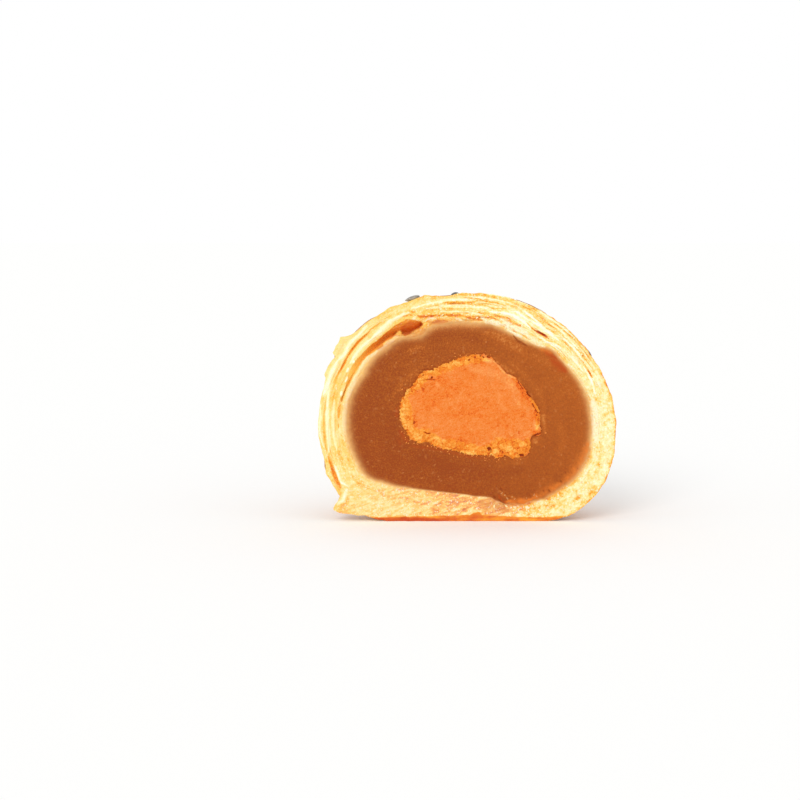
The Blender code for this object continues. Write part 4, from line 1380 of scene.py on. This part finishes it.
def crust_material(piece, look):
    recipe = Recipe("baked_flaky_pastry")
    grain = recipe.mark_place("grain_place")
    thin_streak = recipe.noise(3.6 * MM, grain, 3.0, 0.6)
    medium = recipe.noise(1.3 * MM, None, 3.0, 0.6)
    fine = recipe.noise(0.4 * MM, None, 2.0, 0.6)
    fibres = recipe.noise(1.7 * MM, recipe.drawn_out(3.6, 18), 3.0, 0.6)
    fibres = fibres.between(0.3, 0.7) * 0.45 + fibres * 0.3 + 0.125
    combed = recipe.mark("combed")
    medium = medium * (1.0 - combed) + fibres * combed
    grains = medium.swing(look.mottle) + fine.swing(look.speckle)
    tone = recipe.mark("tone") + grains * recipe.mark("grainy")
    seams = thin_streak.swing(0.5) + (thin_streak.between(0.32, 0.46) - 0.85) * 0.35
    tone = tone + seams * recipe.mark("lined") * look.lining
    stops = ((0.0, look.deep), (0.12, look.rust), (0.26, look.orange), (0.40, look.amber),
             (0.55, look.yellow), (0.70, look.cream), (0.85, look.pale), (1.0, look.white))
    granules = recipe.noise(0.32 * MM, None, 1.0).between(0.60, 0.70)
    crumb = recipe.coats(
        recipe.ramp(tone, stops),
        (look.peach, combed * 0.3),
        (look.white, granules * recipe.mark("grainy") * 0.75),
        (look.seam, recipe.mark("stained") * (1.0 + fine.swing(0.6))),
        (look.oiled, recipe.mark("oiled") * (1.0 + fine.swing(1.4))),
        (look.dry, recipe.mark("white") * (0.55 + fine.between(0.35, 0.6) * 0.45)),
    )

    height = recipe.axis("Z")
    wash = recipe.noise(11 * MM, None, 2.0)
    mottle = recipe.noise(2.2 * MM, None, 4.0, 0.62)
    freckle = recipe.noise(0.8 * MM, None, 3.0, 0.6)
    brushed = recipe.noise(3.6 * MM, recipe.drawn_out(0.25), 3.0)
    bake = height.between(6 * MM, 30 * MM) * 0.42 + wash.swing(1.3) + mottle.swing(1.05)
    bake = bake + freckle.swing(0.8) + 0.20
    stops = ((0.0, look.skin_pale), (0.30, look.skin_tan), (0.62, look.skin_brown),
             (1.0, look.skin_dark))
    drip = (brushed + freckle.swing(0.2)).between(0.56, 0.68)
    blotch = (recipe.noise(1.5 * MM, None, 2.0) + freckle.swing(0.3)).between(0.55, 0.68)
    faint = 0.80 - bake * 0.5 - height.between(12 * MM, 30 * MM) * 0.35
    under = 1.0 - height.between(0.1 * MM, 1.4 * MM)
    bare = recipe.mark("bare")
    outside = recipe.coats(
        recipe.ramp(bake, stops),
        (look.skin_brown, drip * 0.65),
        (look.skin_pale, blotch * faint),
        (look.rust, under * (0.35 + mottle.swing(1.2))),
        (recipe.blend(look.yellow, look.amber, mottle.between(0.4, 0.65)), bare),
    )
    skin = recipe.mark("skin")
    final = recipe.blend(crumb, outside, skin)

    washed = skin * (1.0 - bare)
    roughness = 0.62 + fine.swing(0.2) - washed * 0.22 + freckle.swing(0.15)
    tiny = recipe.noise(0.28 * MM, None, 2.0, 0.6)
    height_map = thin_streak * 0.4 + fine * 0.8 + tiny * 0.4 + mottle * 0.35 * skin
    normal = recipe.bump(height_map, 0.10 * MM, 0.5)
    recipe.finish(piece, Base_Color=final, Roughness=roughness, Normal=normal,
                  Coat_Weight=washed * 0.12, Coat_Roughness=0.35, Subsurface_Weight=0.12,
                  Subsurface_Radius=(1.0, 0.55, 0.25), Subsurface_Scale=0.9 * MM,
                  Specular_IOR_Level=0.2)


class PASTRY_OT_crust(bpy.types.Operator):
    """Flaky crust with its layered cut face and egg-washed skin"""

    bl_idname = "pastry.crust"
    bl_label = "Crust"

    def execute(self, context):
        look = context.scene.pastry_crust
        angle = even_angles(CRUST_COLUMNS)
        face, depth, face_marks = crust_face(angle, look)
        skin = crust_skin(angle, depth[0], look)
        cavity = crust_cavity(angle, depth[-1])
        places, marks = joined_rows(skin, (face, face_marks), cavity)
        piece = wrapped_grid("crust_layers", places, marks)
        crust_material(piece, look)
        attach(piece, "root")
        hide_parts("crust")
        return {"FINISHED"}


def filling_rows(angle, look):
    """The paste's places, from its pole over the cut face into the yolk's bowl, and marks."""
    reach = filling_radius(angle) + CLEARANCE + OVERLAP
    whole, swings = hidden_grid(angle, HIDDEN_ROWS)
    behind = bowl_places(whole, swings, filling_radius(whole), FILLING_DEPTH)
    line = 0.5 + 0.5 * np.cos(np.linspace(0, math.pi, FILLING_FACE_ROWS))
    share = mix(np.linspace(1, 0, FILLING_FACE_ROWS), line, 0.5)[:, None]
    outer = bowl_places(angle, 0.0, reach, 0.0)
    inner = bowl_places(angle, 0.0, yolk_radius(angle) - OVERLAP, 0.0, YOLK_CENTRE)
    face = mix(inner[None], outer[None], share[..., None])
    width = np.linalg.norm(outer - inner, axis=-1)[None]
    to_edge = (1 - share) * width
    to_yolk = share * width
    swell = FILLING_SWELL * ripple(face / LUMP_LENGTH)
    scraped = scratches(face, 35, 7.0, 0.7)
    smooth = bumps(face, 2.2, 21)
    pimples = step_up(bumps(face, 0.55, 31), 0.45, 0.7)
    moat = 0.08 * MM * np.exp(-((to_yolk / (0.35 * MM)) ** 2))
    depth = swell + look.relief * (scraped + smooth) - 0.05 * MM * pimples
    depth = depth * step_up(to_edge, -0.2 * MM, 1.5 * MM) + moat
    depth += OVERLAP * (to_edge < 0.5 * OVERLAP)
    face[..., 1] += depth
    follow_rim(behind, depth[0])
    whole, swings = hidden_grid(angle, HIDDEN_ROWS, inwards=True)
    within = bowl_places(whole, swings, yolk_radius(whole) - OVERLAP, YOLK_DEPTH + CLEARANCE,
                         YOLK_CENTRE)
    frayed, fray = swayed(face, 0.8, 0.14)
    specks = [(SPECK_HALF, 1.0, ((column, row), (column + SPECK_RUN, row + SPECK_RUN)))
              for column, row in PALE_SPECKS]
    specks = strokes(frayed, specks)
    pits = strokes(frayed, SHADED_PASTE_PITS)
    face[..., 1] += 0.22 * MM * pits - 0.05 * MM * specks
    # Painted light: the paste is made lighter towards the right and towards the top.
    tone = 0.34 + 0.22 * face[..., 0] / (22 * MM) + 0.12 * (face[..., 2] - CENTRE_Z) / (16 * MM)
    tone += 0.10 * bumps(face, 7, 71) + 0.10 * bumps(face, 2.6, 77)
    # The pits are painted darker as shade.
    tone += 0.45 * strokes(frayed, PASTE_LIGHT) - 0.30 * strokes(frayed, PASTE_DARK) - 0.4 * pits
    tone += 0.08 * scraped
    halo = np.exp(-((to_yolk / (0.5 * MM)) ** 2))
    tone += 0.30 * halo * step_up(bumps(face, 1.6, 87), -0.1, 0.3)
    soft = SOFTNESS * ring_value(np.broadcast_to(angle, tone.shape), SOFT)
    from_crust = np.maximum(to_edge / MM / soft + 0.25 * fray, 0)
    patchy = step_up(bumps(face, 1.2, 37), -0.25, 0.2)
    marks = {
        "tone": tone,
        "faded": np.exp(-(from_crust**1.4)) * (1 - 0.9 * pits),
        # The red mark is partly oily paste and partly painted shade.
        "red": strokes(frayed, PASTE_RED_OIL_AND_SHADE),
        "glow": strokes(frayed, PASTE_GLOW) * (0.65 + 0.35 * patchy) * (1 - pits),
        "speck": np.maximum(specks, 0.35 * pimples),
    }
    marks = {name: with_hidden(values, HIDDEN_ROWS) for name, values in marks.items()}
    return np.concatenate([behind, face, within]), marks


def filling_material(piece, look):
    recipe = Recipe("bean_paste")
    fine = recipe.noise(0.5 * MM, None, 3.0, 0.6)
    tiny = recipe.noise(0.26 * MM, None, 2.0, 0.6)
    blotch = recipe.noise(1.2 * MM, None, 2.0)
    grainy = 1.0 - recipe.axis("X").between(-6 * MM, 12 * MM) * 0.55
    tone = recipe.mark("tone") + fine.swing(0.7) + tiny.swing(grainy) * 1.8
    stops = ((0.0, look.dark), (0.35, look.middle), (0.65, look.light), (1.0, look.palest))
    body = recipe.coats(
        recipe.ramp(tone, stops),
        (look.edge, recipe.mark("faded") * (1.0 + fine.swing(0.6))),
        (look.red, recipe.mark("red") * (0.9 + fine.swing(1.2))),
        (look.glow, recipe.mark("glow") * (0.85 + fine.swing(1.4) + blotch.swing(0.7))),
        (look.speck, recipe.mark("speck") * 0.65),
    )
    roughness = 0.62 + fine.swing(0.2)
    normal = recipe.bump(fine * 0.6 + tiny * 0.8, 0.05 * MM, 0.6)
    recipe.finish(piece, Base_Color=body, Roughness=roughness, Normal=normal,
                  Subsurface_Weight=0.10, Subsurface_Radius=(1.0, 0.4, 0.15),
                  Subsurface_Scale=0.7 * MM, Specular_IOR_Level=0.08)


class PASTRY_OT_filling(bpy.types.Operator):
    """Smooth bean paste round the yolk"""

    bl_idname = "pastry.filling"
    bl_label = "Filling"

    def execute(self, context):
        look = context.scene.pastry_filling
        places, marks = filling_rows(even_angles(FILLING_COLUMNS), look)
        piece = wrapped_grid("bean_paste", places, marks)
        filling_material(piece, look)
        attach(piece, "root")
        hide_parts("filling")
        return {"FINISHED"}


def yolk_rows(angle, look):
    """The yolk's places, from its pole to the middle of the cut face, and their marks."""
    outline = yolk_radius(angle)
    whole, swings = hidden_grid(angle, HIDDEN_ROWS)
    behind = bowl_places(whole, swings, yolk_radius(whole), YOLK_DEPTH, YOLK_CENTRE)
    share = (np.linspace(1, 0, YOLK_FACE_ROWS) ** 0.85)[:, None]
    face = bowl_places(angle, 0.0, outline * share, 0.0, YOLK_CENTRE)
    to_edge = (1 - share) * outline
    swell = YOLK_CRUMB * ripple(face / CRUMB_LENGTH) * (0.3 + 0.7 * share) * 0.5
    grains = bumps(face, 0.75, 91) + 0.6 * bumps(face, 0.34, 95)
    frayed, _ = swayed(face, 0.7, 0.16)
    torn, _ = swayed(face, 1.6, 0.5, (23, 29))
    rim = strokes(torn, YOLK_RIM)
    lumps = strokes(frayed, YOLK_LUMPS_AND_HIGHLIGHTS, 3)
    pits = strokes(frayed, SHADED_YOLK_PITS, 4)
    rough = np.clip(0.08 + rim, 0, 1)
    turns = np.broadcast_to(angle, to_edge.shape)
    arcs = along_ring(turns, to_edge, 5 * MM, 0.9 * MM, 65.0)
    crumbs = 1 - 2 * np.abs(bumps(face, 1.1, 91)) ** 0.7
    clefts = step_up(crumbs, 0.45, 0.95) * rim
    beads = step_up(bumps(face, 0.55, 51), 0.25, 0.5) * rim
    holes = step_up(bumps(face, 0.42, 57), 0.42, 0.6) * np.exp(-to_edge / (0.5 * MM))
    depth = swell + look.grain * grains * rough - 0.12 * MM * lumps * rim + 0.30 * MM * pits
    depth += 0.14 * MM * clefts - 0.10 * MM * beads + 0.2 * MM * holes - look.proud
    depth += 0.13 * MM * np.exp(-to_edge / (0.15 * MM))
    face[..., 1] += depth
    follow_rim(behind, depth[0])
    # The raised lumps are paler, partly by their own colour and partly as painted highlights.
    tone = 0.44 + 0.27 * rim + 0.28 * lumps - 0.22 * strokes(frayed, YOLK_EMBERS)
    tone += 0.08 * bumps(face, 2.4, 61) + 0.12 * arcs * (1 - rim)
    # Painted light and shade: darker in the grains' hollows, clefts, pits and holes as painted
    # shade, paler on the raised beads as painted highlights.
    tone -= 0.12 * grains * rough + 0.16 * clefts + 0.8 * pits + 0.5 * holes - 0.16 * beads
    marks = {"tone": with_hidden(tone), "rough": with_hidden(rough)}
    return np.concatenate([behind, face]), marks


def yolk_material(piece, look):
    recipe = Recipe("salted_yolk")
    grain = recipe.noise(0.55 * MM, None, 3.0, 0.6)
    tiny = recipe.noise(0.2 * MM, None, 2.0, 0.6)
    rough = recipe.mark("rough")
    knifed = recipe.noise(0.9 * MM, recipe.drawn_out(3.0, 24), 3.0, 0.65)
    tone = recipe.mark("tone") + grain.swing(0.35 + rough * 0.45) + knifed.swing(0.55)
    tone = tone + tiny.swing(0.9 + rough * 0.2)
    ragged = recipe.warped(0.9 * MM, 0.6 * MM)
    crumb_size = {"Vector": ragged, "Scale": 1 / (1.25 * MM)}
    inwards = recipe.node("TexVoronoi", {"feature": "DISTANCE_TO_EDGE"}, crumb_size)
    tint = recipe.node("TexVoronoi", {"feature": "F1"}, crumb_size, output="Color")
    # Painted shade: darker along the edges between the rim's crumbs, where the bump sinks too.
    tone = tone + rough * (tint.swing(0.66) - (1.0 - inwards.between(0.0, 0.07)) * 0.30 - 0.02)
    stops = ((0.0, look.pore), (0.18, look.ember), (0.34, look.heart), (0.5, look.middle),
             (0.72, look.fair), (1.0, look.palest))
    inner = recipe.ramp(tone, stops)
    stops = ((0.0, look.pore), (0.18, look.ember), (0.40, look.amber), (0.62, look.rim),
             (0.82, look.pale), (1.0, look.palest))
    crumbly = (rough + grain.swing(0.7)).between(0.30, 0.55)
    body = recipe.blend(inner, recipe.ramp(tone, stops), crumbly)
    roughness = 0.6 + grain.swing(0.3)
    height = grain * 0.6 + tiny * 0.5 + inwards.between(0.0, 0.3) * rough * 1.5
    normal = recipe.bump(height, 0.08 * MM, 0.6)
    recipe.finish(piece, Base_Color=body, Roughness=roughness, Normal=normal,
                  Subsurface_Weight=0.12, Subsurface_Radius=(1.0, 0.4, 0.12),
                  Subsurface_Scale=0.8 * MM, Specular_IOR_Level=0.08)


class PASTRY_OT_yolk(bpy.types.Operator):
    """Salted egg yolk with a crumbly rim"""

    bl_idname = "pastry.yolk"
    bl_label = "Yolk"

    def execute(self, context):
        look = context.scene.pastry_yolk
        places, marks = yolk_rows(even_angles(YOLK_COLUMNS), look)
        piece = wrapped_grid("salted_yolk", places, marks)
        yolk_material(piece, look)
        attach(piece, "root")
        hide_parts("yolk")
        return {"FINISHED"}


def skin_point(angle, swing):
    return Vector(skin_places(angle, swing))


def seed_places():
    """(angle, swing, turn, lift) of each seed, drawn as the part's source draws them."""
    draw = random.Random(SEED_RANDOM)
    places = list(EDGE_SEEDS)
    centres = [skin_point(angle, swing) for angle, swing, *_ in places]
    while len(places) < SEED_COUNT + len(EDGE_SEEDS):
        angle = draw.triangular(*SEED_FIELD_ANGLES)
        swing = draw.triangular(*SEED_FIELD_SWINGS)
        turn = draw.uniform(0, 180)
        centre = skin_point(angle, swing)
        if all((centre - other).length > SEED_SPACING for other in centres):
            places.append((angle, swing, turn, SEED_LIFT))
            centres.append(centre)
    return places


def seed_matrix(angle, swing, turn, lift):
    """Lays a seed on the skin, its middle lifted out and turned about the skin's normal."""
    small = 1.0
    centre = skin_point(angle, swing)
    along = (skin_point(angle + small, swing) - skin_point(angle - small, swing)).normalized()
    back = (skin_point(angle, swing + small) - skin_point(angle, swing - small)).normalized()
    normal = back.cross(along).normalized()
    side = normal.cross(along)
    axes = Matrix((along, side, normal)).transposed().to_4x4()
    lay = Matrix.Translation(centre + normal * lift)
    return lay @ axes @ Matrix.Rotation(math.radians(turn), 4, "Z")


def moved(places, matrix):
    table = np.array(matrix)
    return places @ table[:3, :3].T + table[:3, 3]


def join_pieces(pieces, name):
    bpy.ops.object.select_all(action="DESELECT")
    for piece in pieces:
        piece.select_set(True)
    bpy.context.view_layer.objects.active = pieces[0]
    bpy.ops.object.join()
    joined = bpy.context.object
    joined.name = joined.data.name = name
    bpy.ops.object.shade_smooth()
    return joined


def add_seed(matrix, number, worn, look):
    bpy.ops.object.select_all(action="DESELECT")
    bpy.ops.mesh.primitive_uv_sphere_add(segments=20, ring_count=16, radius=0.5)
    seed = bpy.context.object
    ball = points_of(seed.data)
    x, y, z = ball[:, 2], ball[:, 0], ball[:, 1]
    narrow = 1 - SEED_TAPER * (x + 0.5)
    tip = 1 - 0.25 * step_up(x, 0.3, 0.5)
    flat = 1 - 0.18 * np.abs(2 * z) ** 3
    places = np.stack([x * look.length, y * look.width * narrow * tip * flat,
                       z * look.height * narrow * tip], axis=-1)
    dents = bumps(places, 0.9, 3.1 * number)
    pores = bumps(places, 0.35, 5.3 * number)
    places *= (1 + 0.05 * dents + 0.03 * pores)[:, None]
    set_points(seed.data, moved(places, matrix))
    set_mark(seed.data, "worn", np.full(len(places), worn))
    return seed


class PASTRY_OT_seeds(bpy.types.Operator):
    """Black sesame seeds on the skin"""

    bl_idname = "pastry.seeds"
    bl_label = "Sesame seeds"

    def execute(self, context):
        look = context.scene.pastry_seeds
        draw = random.Random(WEAR_RANDOM)
        seeds = []
        for number, place in enumerate(seed_places()):
            wear = 1.2 if number == 0 else draw.uniform(0, 0.2)
            seeds.append(add_seed(seed_matrix(*place), number, wear, look))
        piece = join_pieces(seeds, "sesame_seeds")
        recipe = Recipe("black_sesame")
        worn = recipe.noise(0.6 * MM, None, 3.0, 0.6)
        dust = recipe.noise(0.16 * MM, None, 2.0, 0.6)
        # The grey patches are partly dust and wear and partly a painted sheen.
        wear = worn + dust.swing(0.5) + recipe.mark("worn") * 0.5
        body = recipe.blend(look.black, look.grey_dust_and_sheen, wear.between(0.48, 0.85))
        body = recipe.blend(body, look.worn, wear.between(0.85, 1.25))
        normal = recipe.bump(worn * 0.5 + dust * 0.8, 0.05 * MM, 0.7)
        recipe.finish(piece, Base_Color=body, Roughness=0.42 + dust.swing(0.3), Normal=normal,
                      Coat_Weight=0.12, Coat_Roughness=0.3)
        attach(piece, "root")
        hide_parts("crust")
        return {"FINISHED"}


def add_grain(place, size, squash, number):
    """One crumb: a rough ball pressed to a grain or a thin flake."""
    bpy.ops.object.select_all(action="DESELECT")
    bpy.ops.mesh.primitive_ico_sphere_add(subdivisions=2, radius=0.5)
    grain = bpy.context.object
    ball = points_of(grain.data)
    rough = 1 + 0.55 * ripple(ball * 2.3 + 7.7 * number)
    turn = Matrix.Rotation(number * 2.4, 3, "Y")
    places = (ball * rough[:, None] * np.array(squash) * size) @ np.array(turn).T
    set_points(grain.data, places + np.array(place))
    return grain


def yolk_grains(count, draw):
    """Crumbs of yolk on the paste, most of them under the yolk and to its left."""
    grains = []
    for number in range(count):
        angle = draw.choice((draw.uniform(185, 235), draw.uniform(240, 330), draw.uniform(0, 360)))
        out = draw.triangular(-0.05, 1.3, 0.0) * MM
        place = bowl_places(angle, 0.0, yolk_radius(angle) + out, 0.0, YOLK_CENTRE)
        place[1] += FILLING_SWELL * ripple(place / LUMP_LENGTH)
        size = draw.triangular(0.10, 0.32, 0.14) * MM
        grains.append(add_grain(place, size, (1.0, 0.6, draw.uniform(0.5, 1.0)), number))
    return grains


def paste_bits():
    """Loose bits of paste at their places in the photograph."""
    bits = []
    for number, (column, row, size) in enumerate(PASTE_CRUMBS):
        x, z = from_photograph(column, row)
        bits.append(add_grain((x, CUT_Y, z), size * MM, (1.0, 0.45, 0.6), number))
    return bits


def loose_flakes(count, draw):
    """Flakes on the crust's cut face, with none in its hollows or on the browned base."""
    flakes = []
    for number in range(count):
        angle = draw.choice((draw.uniform(20, 215), draw.uniform(215, 380)))
        share = draw.uniform(0.1, 0.95)
        inner = bowl_places(angle, 0.0, filling_radius(angle) + CLEARANCE, 0.0)
        place = mix(inner, np.array(skin_point(angle, 0.0)), share)
        sunk = gap_depth(angle % 360, share) + groove_depth(angle % 360, share, GROOVES)
        near = max(depth_inside(place, GAP), depth_inside(place, BROWN_BASE))
        if sunk > 0.3 * MM or near > -0.4 * MM:
            continue
        size = draw.triangular(0.25, 0.9, 0.4) * MM
        squash = (1.0, 0.28, draw.uniform(0.35, 0.7))
        flakes.append(add_grain(place + np.array([0, 0.02 * MM, 0]), size, squash, number))
    return flakes


def crumb_piece(grains, name, material, low, high, size=0.4 * MM, roughness=0.65):
    """Joins crumbs into one piece, mottled in two colours."""
    piece = join_pieces(grains, name)
    recipe = Recipe(material)
    tint = recipe.noise(size)
    recipe.finish(piece, Base_Color=recipe.blend(low, high, tint), Roughness=roughness,
                  Normal=recipe.bump(tint, 0.05 * MM))
    return piece


class PASTRY_OT_crumbs(bpy.types.Operator):
    """Yolk grains and bits of paste on the paste, and loose flakes on the cut face"""

    bl_idname = "pastry.crumbs"
    bl_label = "Crumbs"

    def execute(self, context):
        look = context.scene.pastry_crumbs
        yolk = context.scene.pastry_yolk
        paste = context.scene.pastry_filling
        crust = context.scene.pastry_crust
        draw = random.Random(CRUMB_RANDOM)
        grains = yolk_grains(look.yolk_count, draw)
        piece = crumb_piece(grains, "yolk_crumbs", "yolk_crumb", yolk.heart, yolk.pale)
        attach(piece, "root")

        bits = paste_bits()
        piece = crumb_piece(bits, "paste_crumbs", "paste_crumb", paste.light, paste.edge)
        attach(piece, "root")

        flakes = loose_flakes(look.flake_count, draw)
        piece = crumb_piece(flakes, "pastry_flakes", "pastry_flake", crust.pale, crust.yellow,
                            0.6 * MM, 0.6)
        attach(piece, "root")
        return {"FINISHED"}


def add_sun(name, towards, strength):
    """Soft light from a far lamp that lies in this direction."""
    turn = (-Vector(towards)).to_track_quat("-Z", "Y").to_euler()
    bpy.ops.object.light_add(type="SUN", location=Vector(towards), rotation=turn)
    lamp = bpy.context.object
    lamp.name = lamp.data.name = name
    lamp.data.energy = strength
    lamp.data.angle = math.radians(LAMP_SPREAD)


class PASTRY_OT_stage(bpy.types.Operator):
    """Pale floor, soft studio light and the camera"""

    bl_idname = "pastry.stage"
    bl_label = "Stage"

    def execute(self, context):
        look = context.scene.pastry_stage
        bpy.ops.object.select_all(action="DESELECT")
        bpy.ops.mesh.primitive_plane_add(size=look.floor_size)
        floor = bpy.context.object
        floor.name = floor.data.name = "floor"
        recipe = Recipe("pale_floor")
        recipe.finish(floor, Base_Color=look.white, Roughness=0.9, Specular_IOR_Level=0.0,
                      Emission_Color=look.white, Emission_Strength=look.lift)

        world = bpy.data.worlds.new("studio")
        context.scene.world = world
        nodes = Nodes(world)
        seen = nodes.node("LightPath", output="Is Camera Ray")
        strength = nodes.node("Mix", None, {0: seen, 2: look.ambient, 3: look.backdrop})
        background = nodes.tree.nodes["Background"]
        nodes.fill(background, {"Color": (1.0, 1.0, 1.0), "Strength": strength})

        add_sun("key", KEY_TOWARDS, look.key)

        away = Vector((0, -math.cos(look.elevation), math.sin(look.elevation)))
        bpy.ops.object.camera_add(location=Vector(AIM) + away * look.distance)
        camera = context.object
        camera.name = camera.data.name = "camera"
        camera.rotation_euler = (-away).to_track_quat("-Z", "Y").to_euler()
        camera.data.lens = look.lens
        camera.data.sensor_width = SENSOR_WIDTH
        camera.data.clip_start = CLIP_START
        context.scene.camera = camera
        context.scene.view_settings.view_transform = "Standard"
        context.scene.view_settings.look = "None"
        return {"FINISHED"}


class PASTRY_PT_panel(bpy.types.Panel):
    """Lists the pieces of the pastry and their sizes and colours"""

    bl_label = "Egg Yolk Pastry Half"
    bl_idname = "PASTRY_PT_panel"
    bl_space_type = "VIEW_3D"
    bl_region_type = "UI"
    bl_category = "Pastry"

    def draw(self, context):
        for name, _, operator in STEPS:
            box = self.layout.box()
            box.operator(operator.bl_idname)
            settings = getattr(context.scene, name)
            for label in settings.__annotations__:
                box.prop(settings, label)


# Each step's name on the scene, its settings and its operator
STEPS = (
    ("pastry_crust", CrustSettings, PASTRY_OT_crust),
    ("pastry_filling", FillingSettings, PASTRY_OT_filling),
    ("pastry_yolk", YolkSettings, PASTRY_OT_yolk),
    ("pastry_seeds", SeedSettings, PASTRY_OT_seeds),
    ("pastry_crumbs", CrumbSettings, PASTRY_OT_crumbs),
    ("pastry_stage", StageSettings, PASTRY_OT_stage),
)


def register():
    for name, group, operator in STEPS:
        bpy.utils.register_class(group)
        setattr(bpy.types.Scene, name, PointerProperty(type=group))
        bpy.utils.register_class(operator)
    bpy.utils.register_class(PASTRY_PT_panel)


def unregister():
    bpy.utils.unregister_class(PASTRY_PT_panel)
    for name, group, operator in reversed(STEPS):
        bpy.utils.unregister_class(operator)
        delattr(bpy.types.Scene, name)
        bpy.utils.unregister_class(group)


def main():
    register()
    bpy.ops.pastry.crust()
    bpy.ops.pastry.filling()
    bpy.ops.pastry.yolk()
    bpy.ops.pastry.seeds()
    bpy.ops.pastry.crumbs()
    bpy.ops.pastry.stage()


if __name__ == "__main__":
    main()
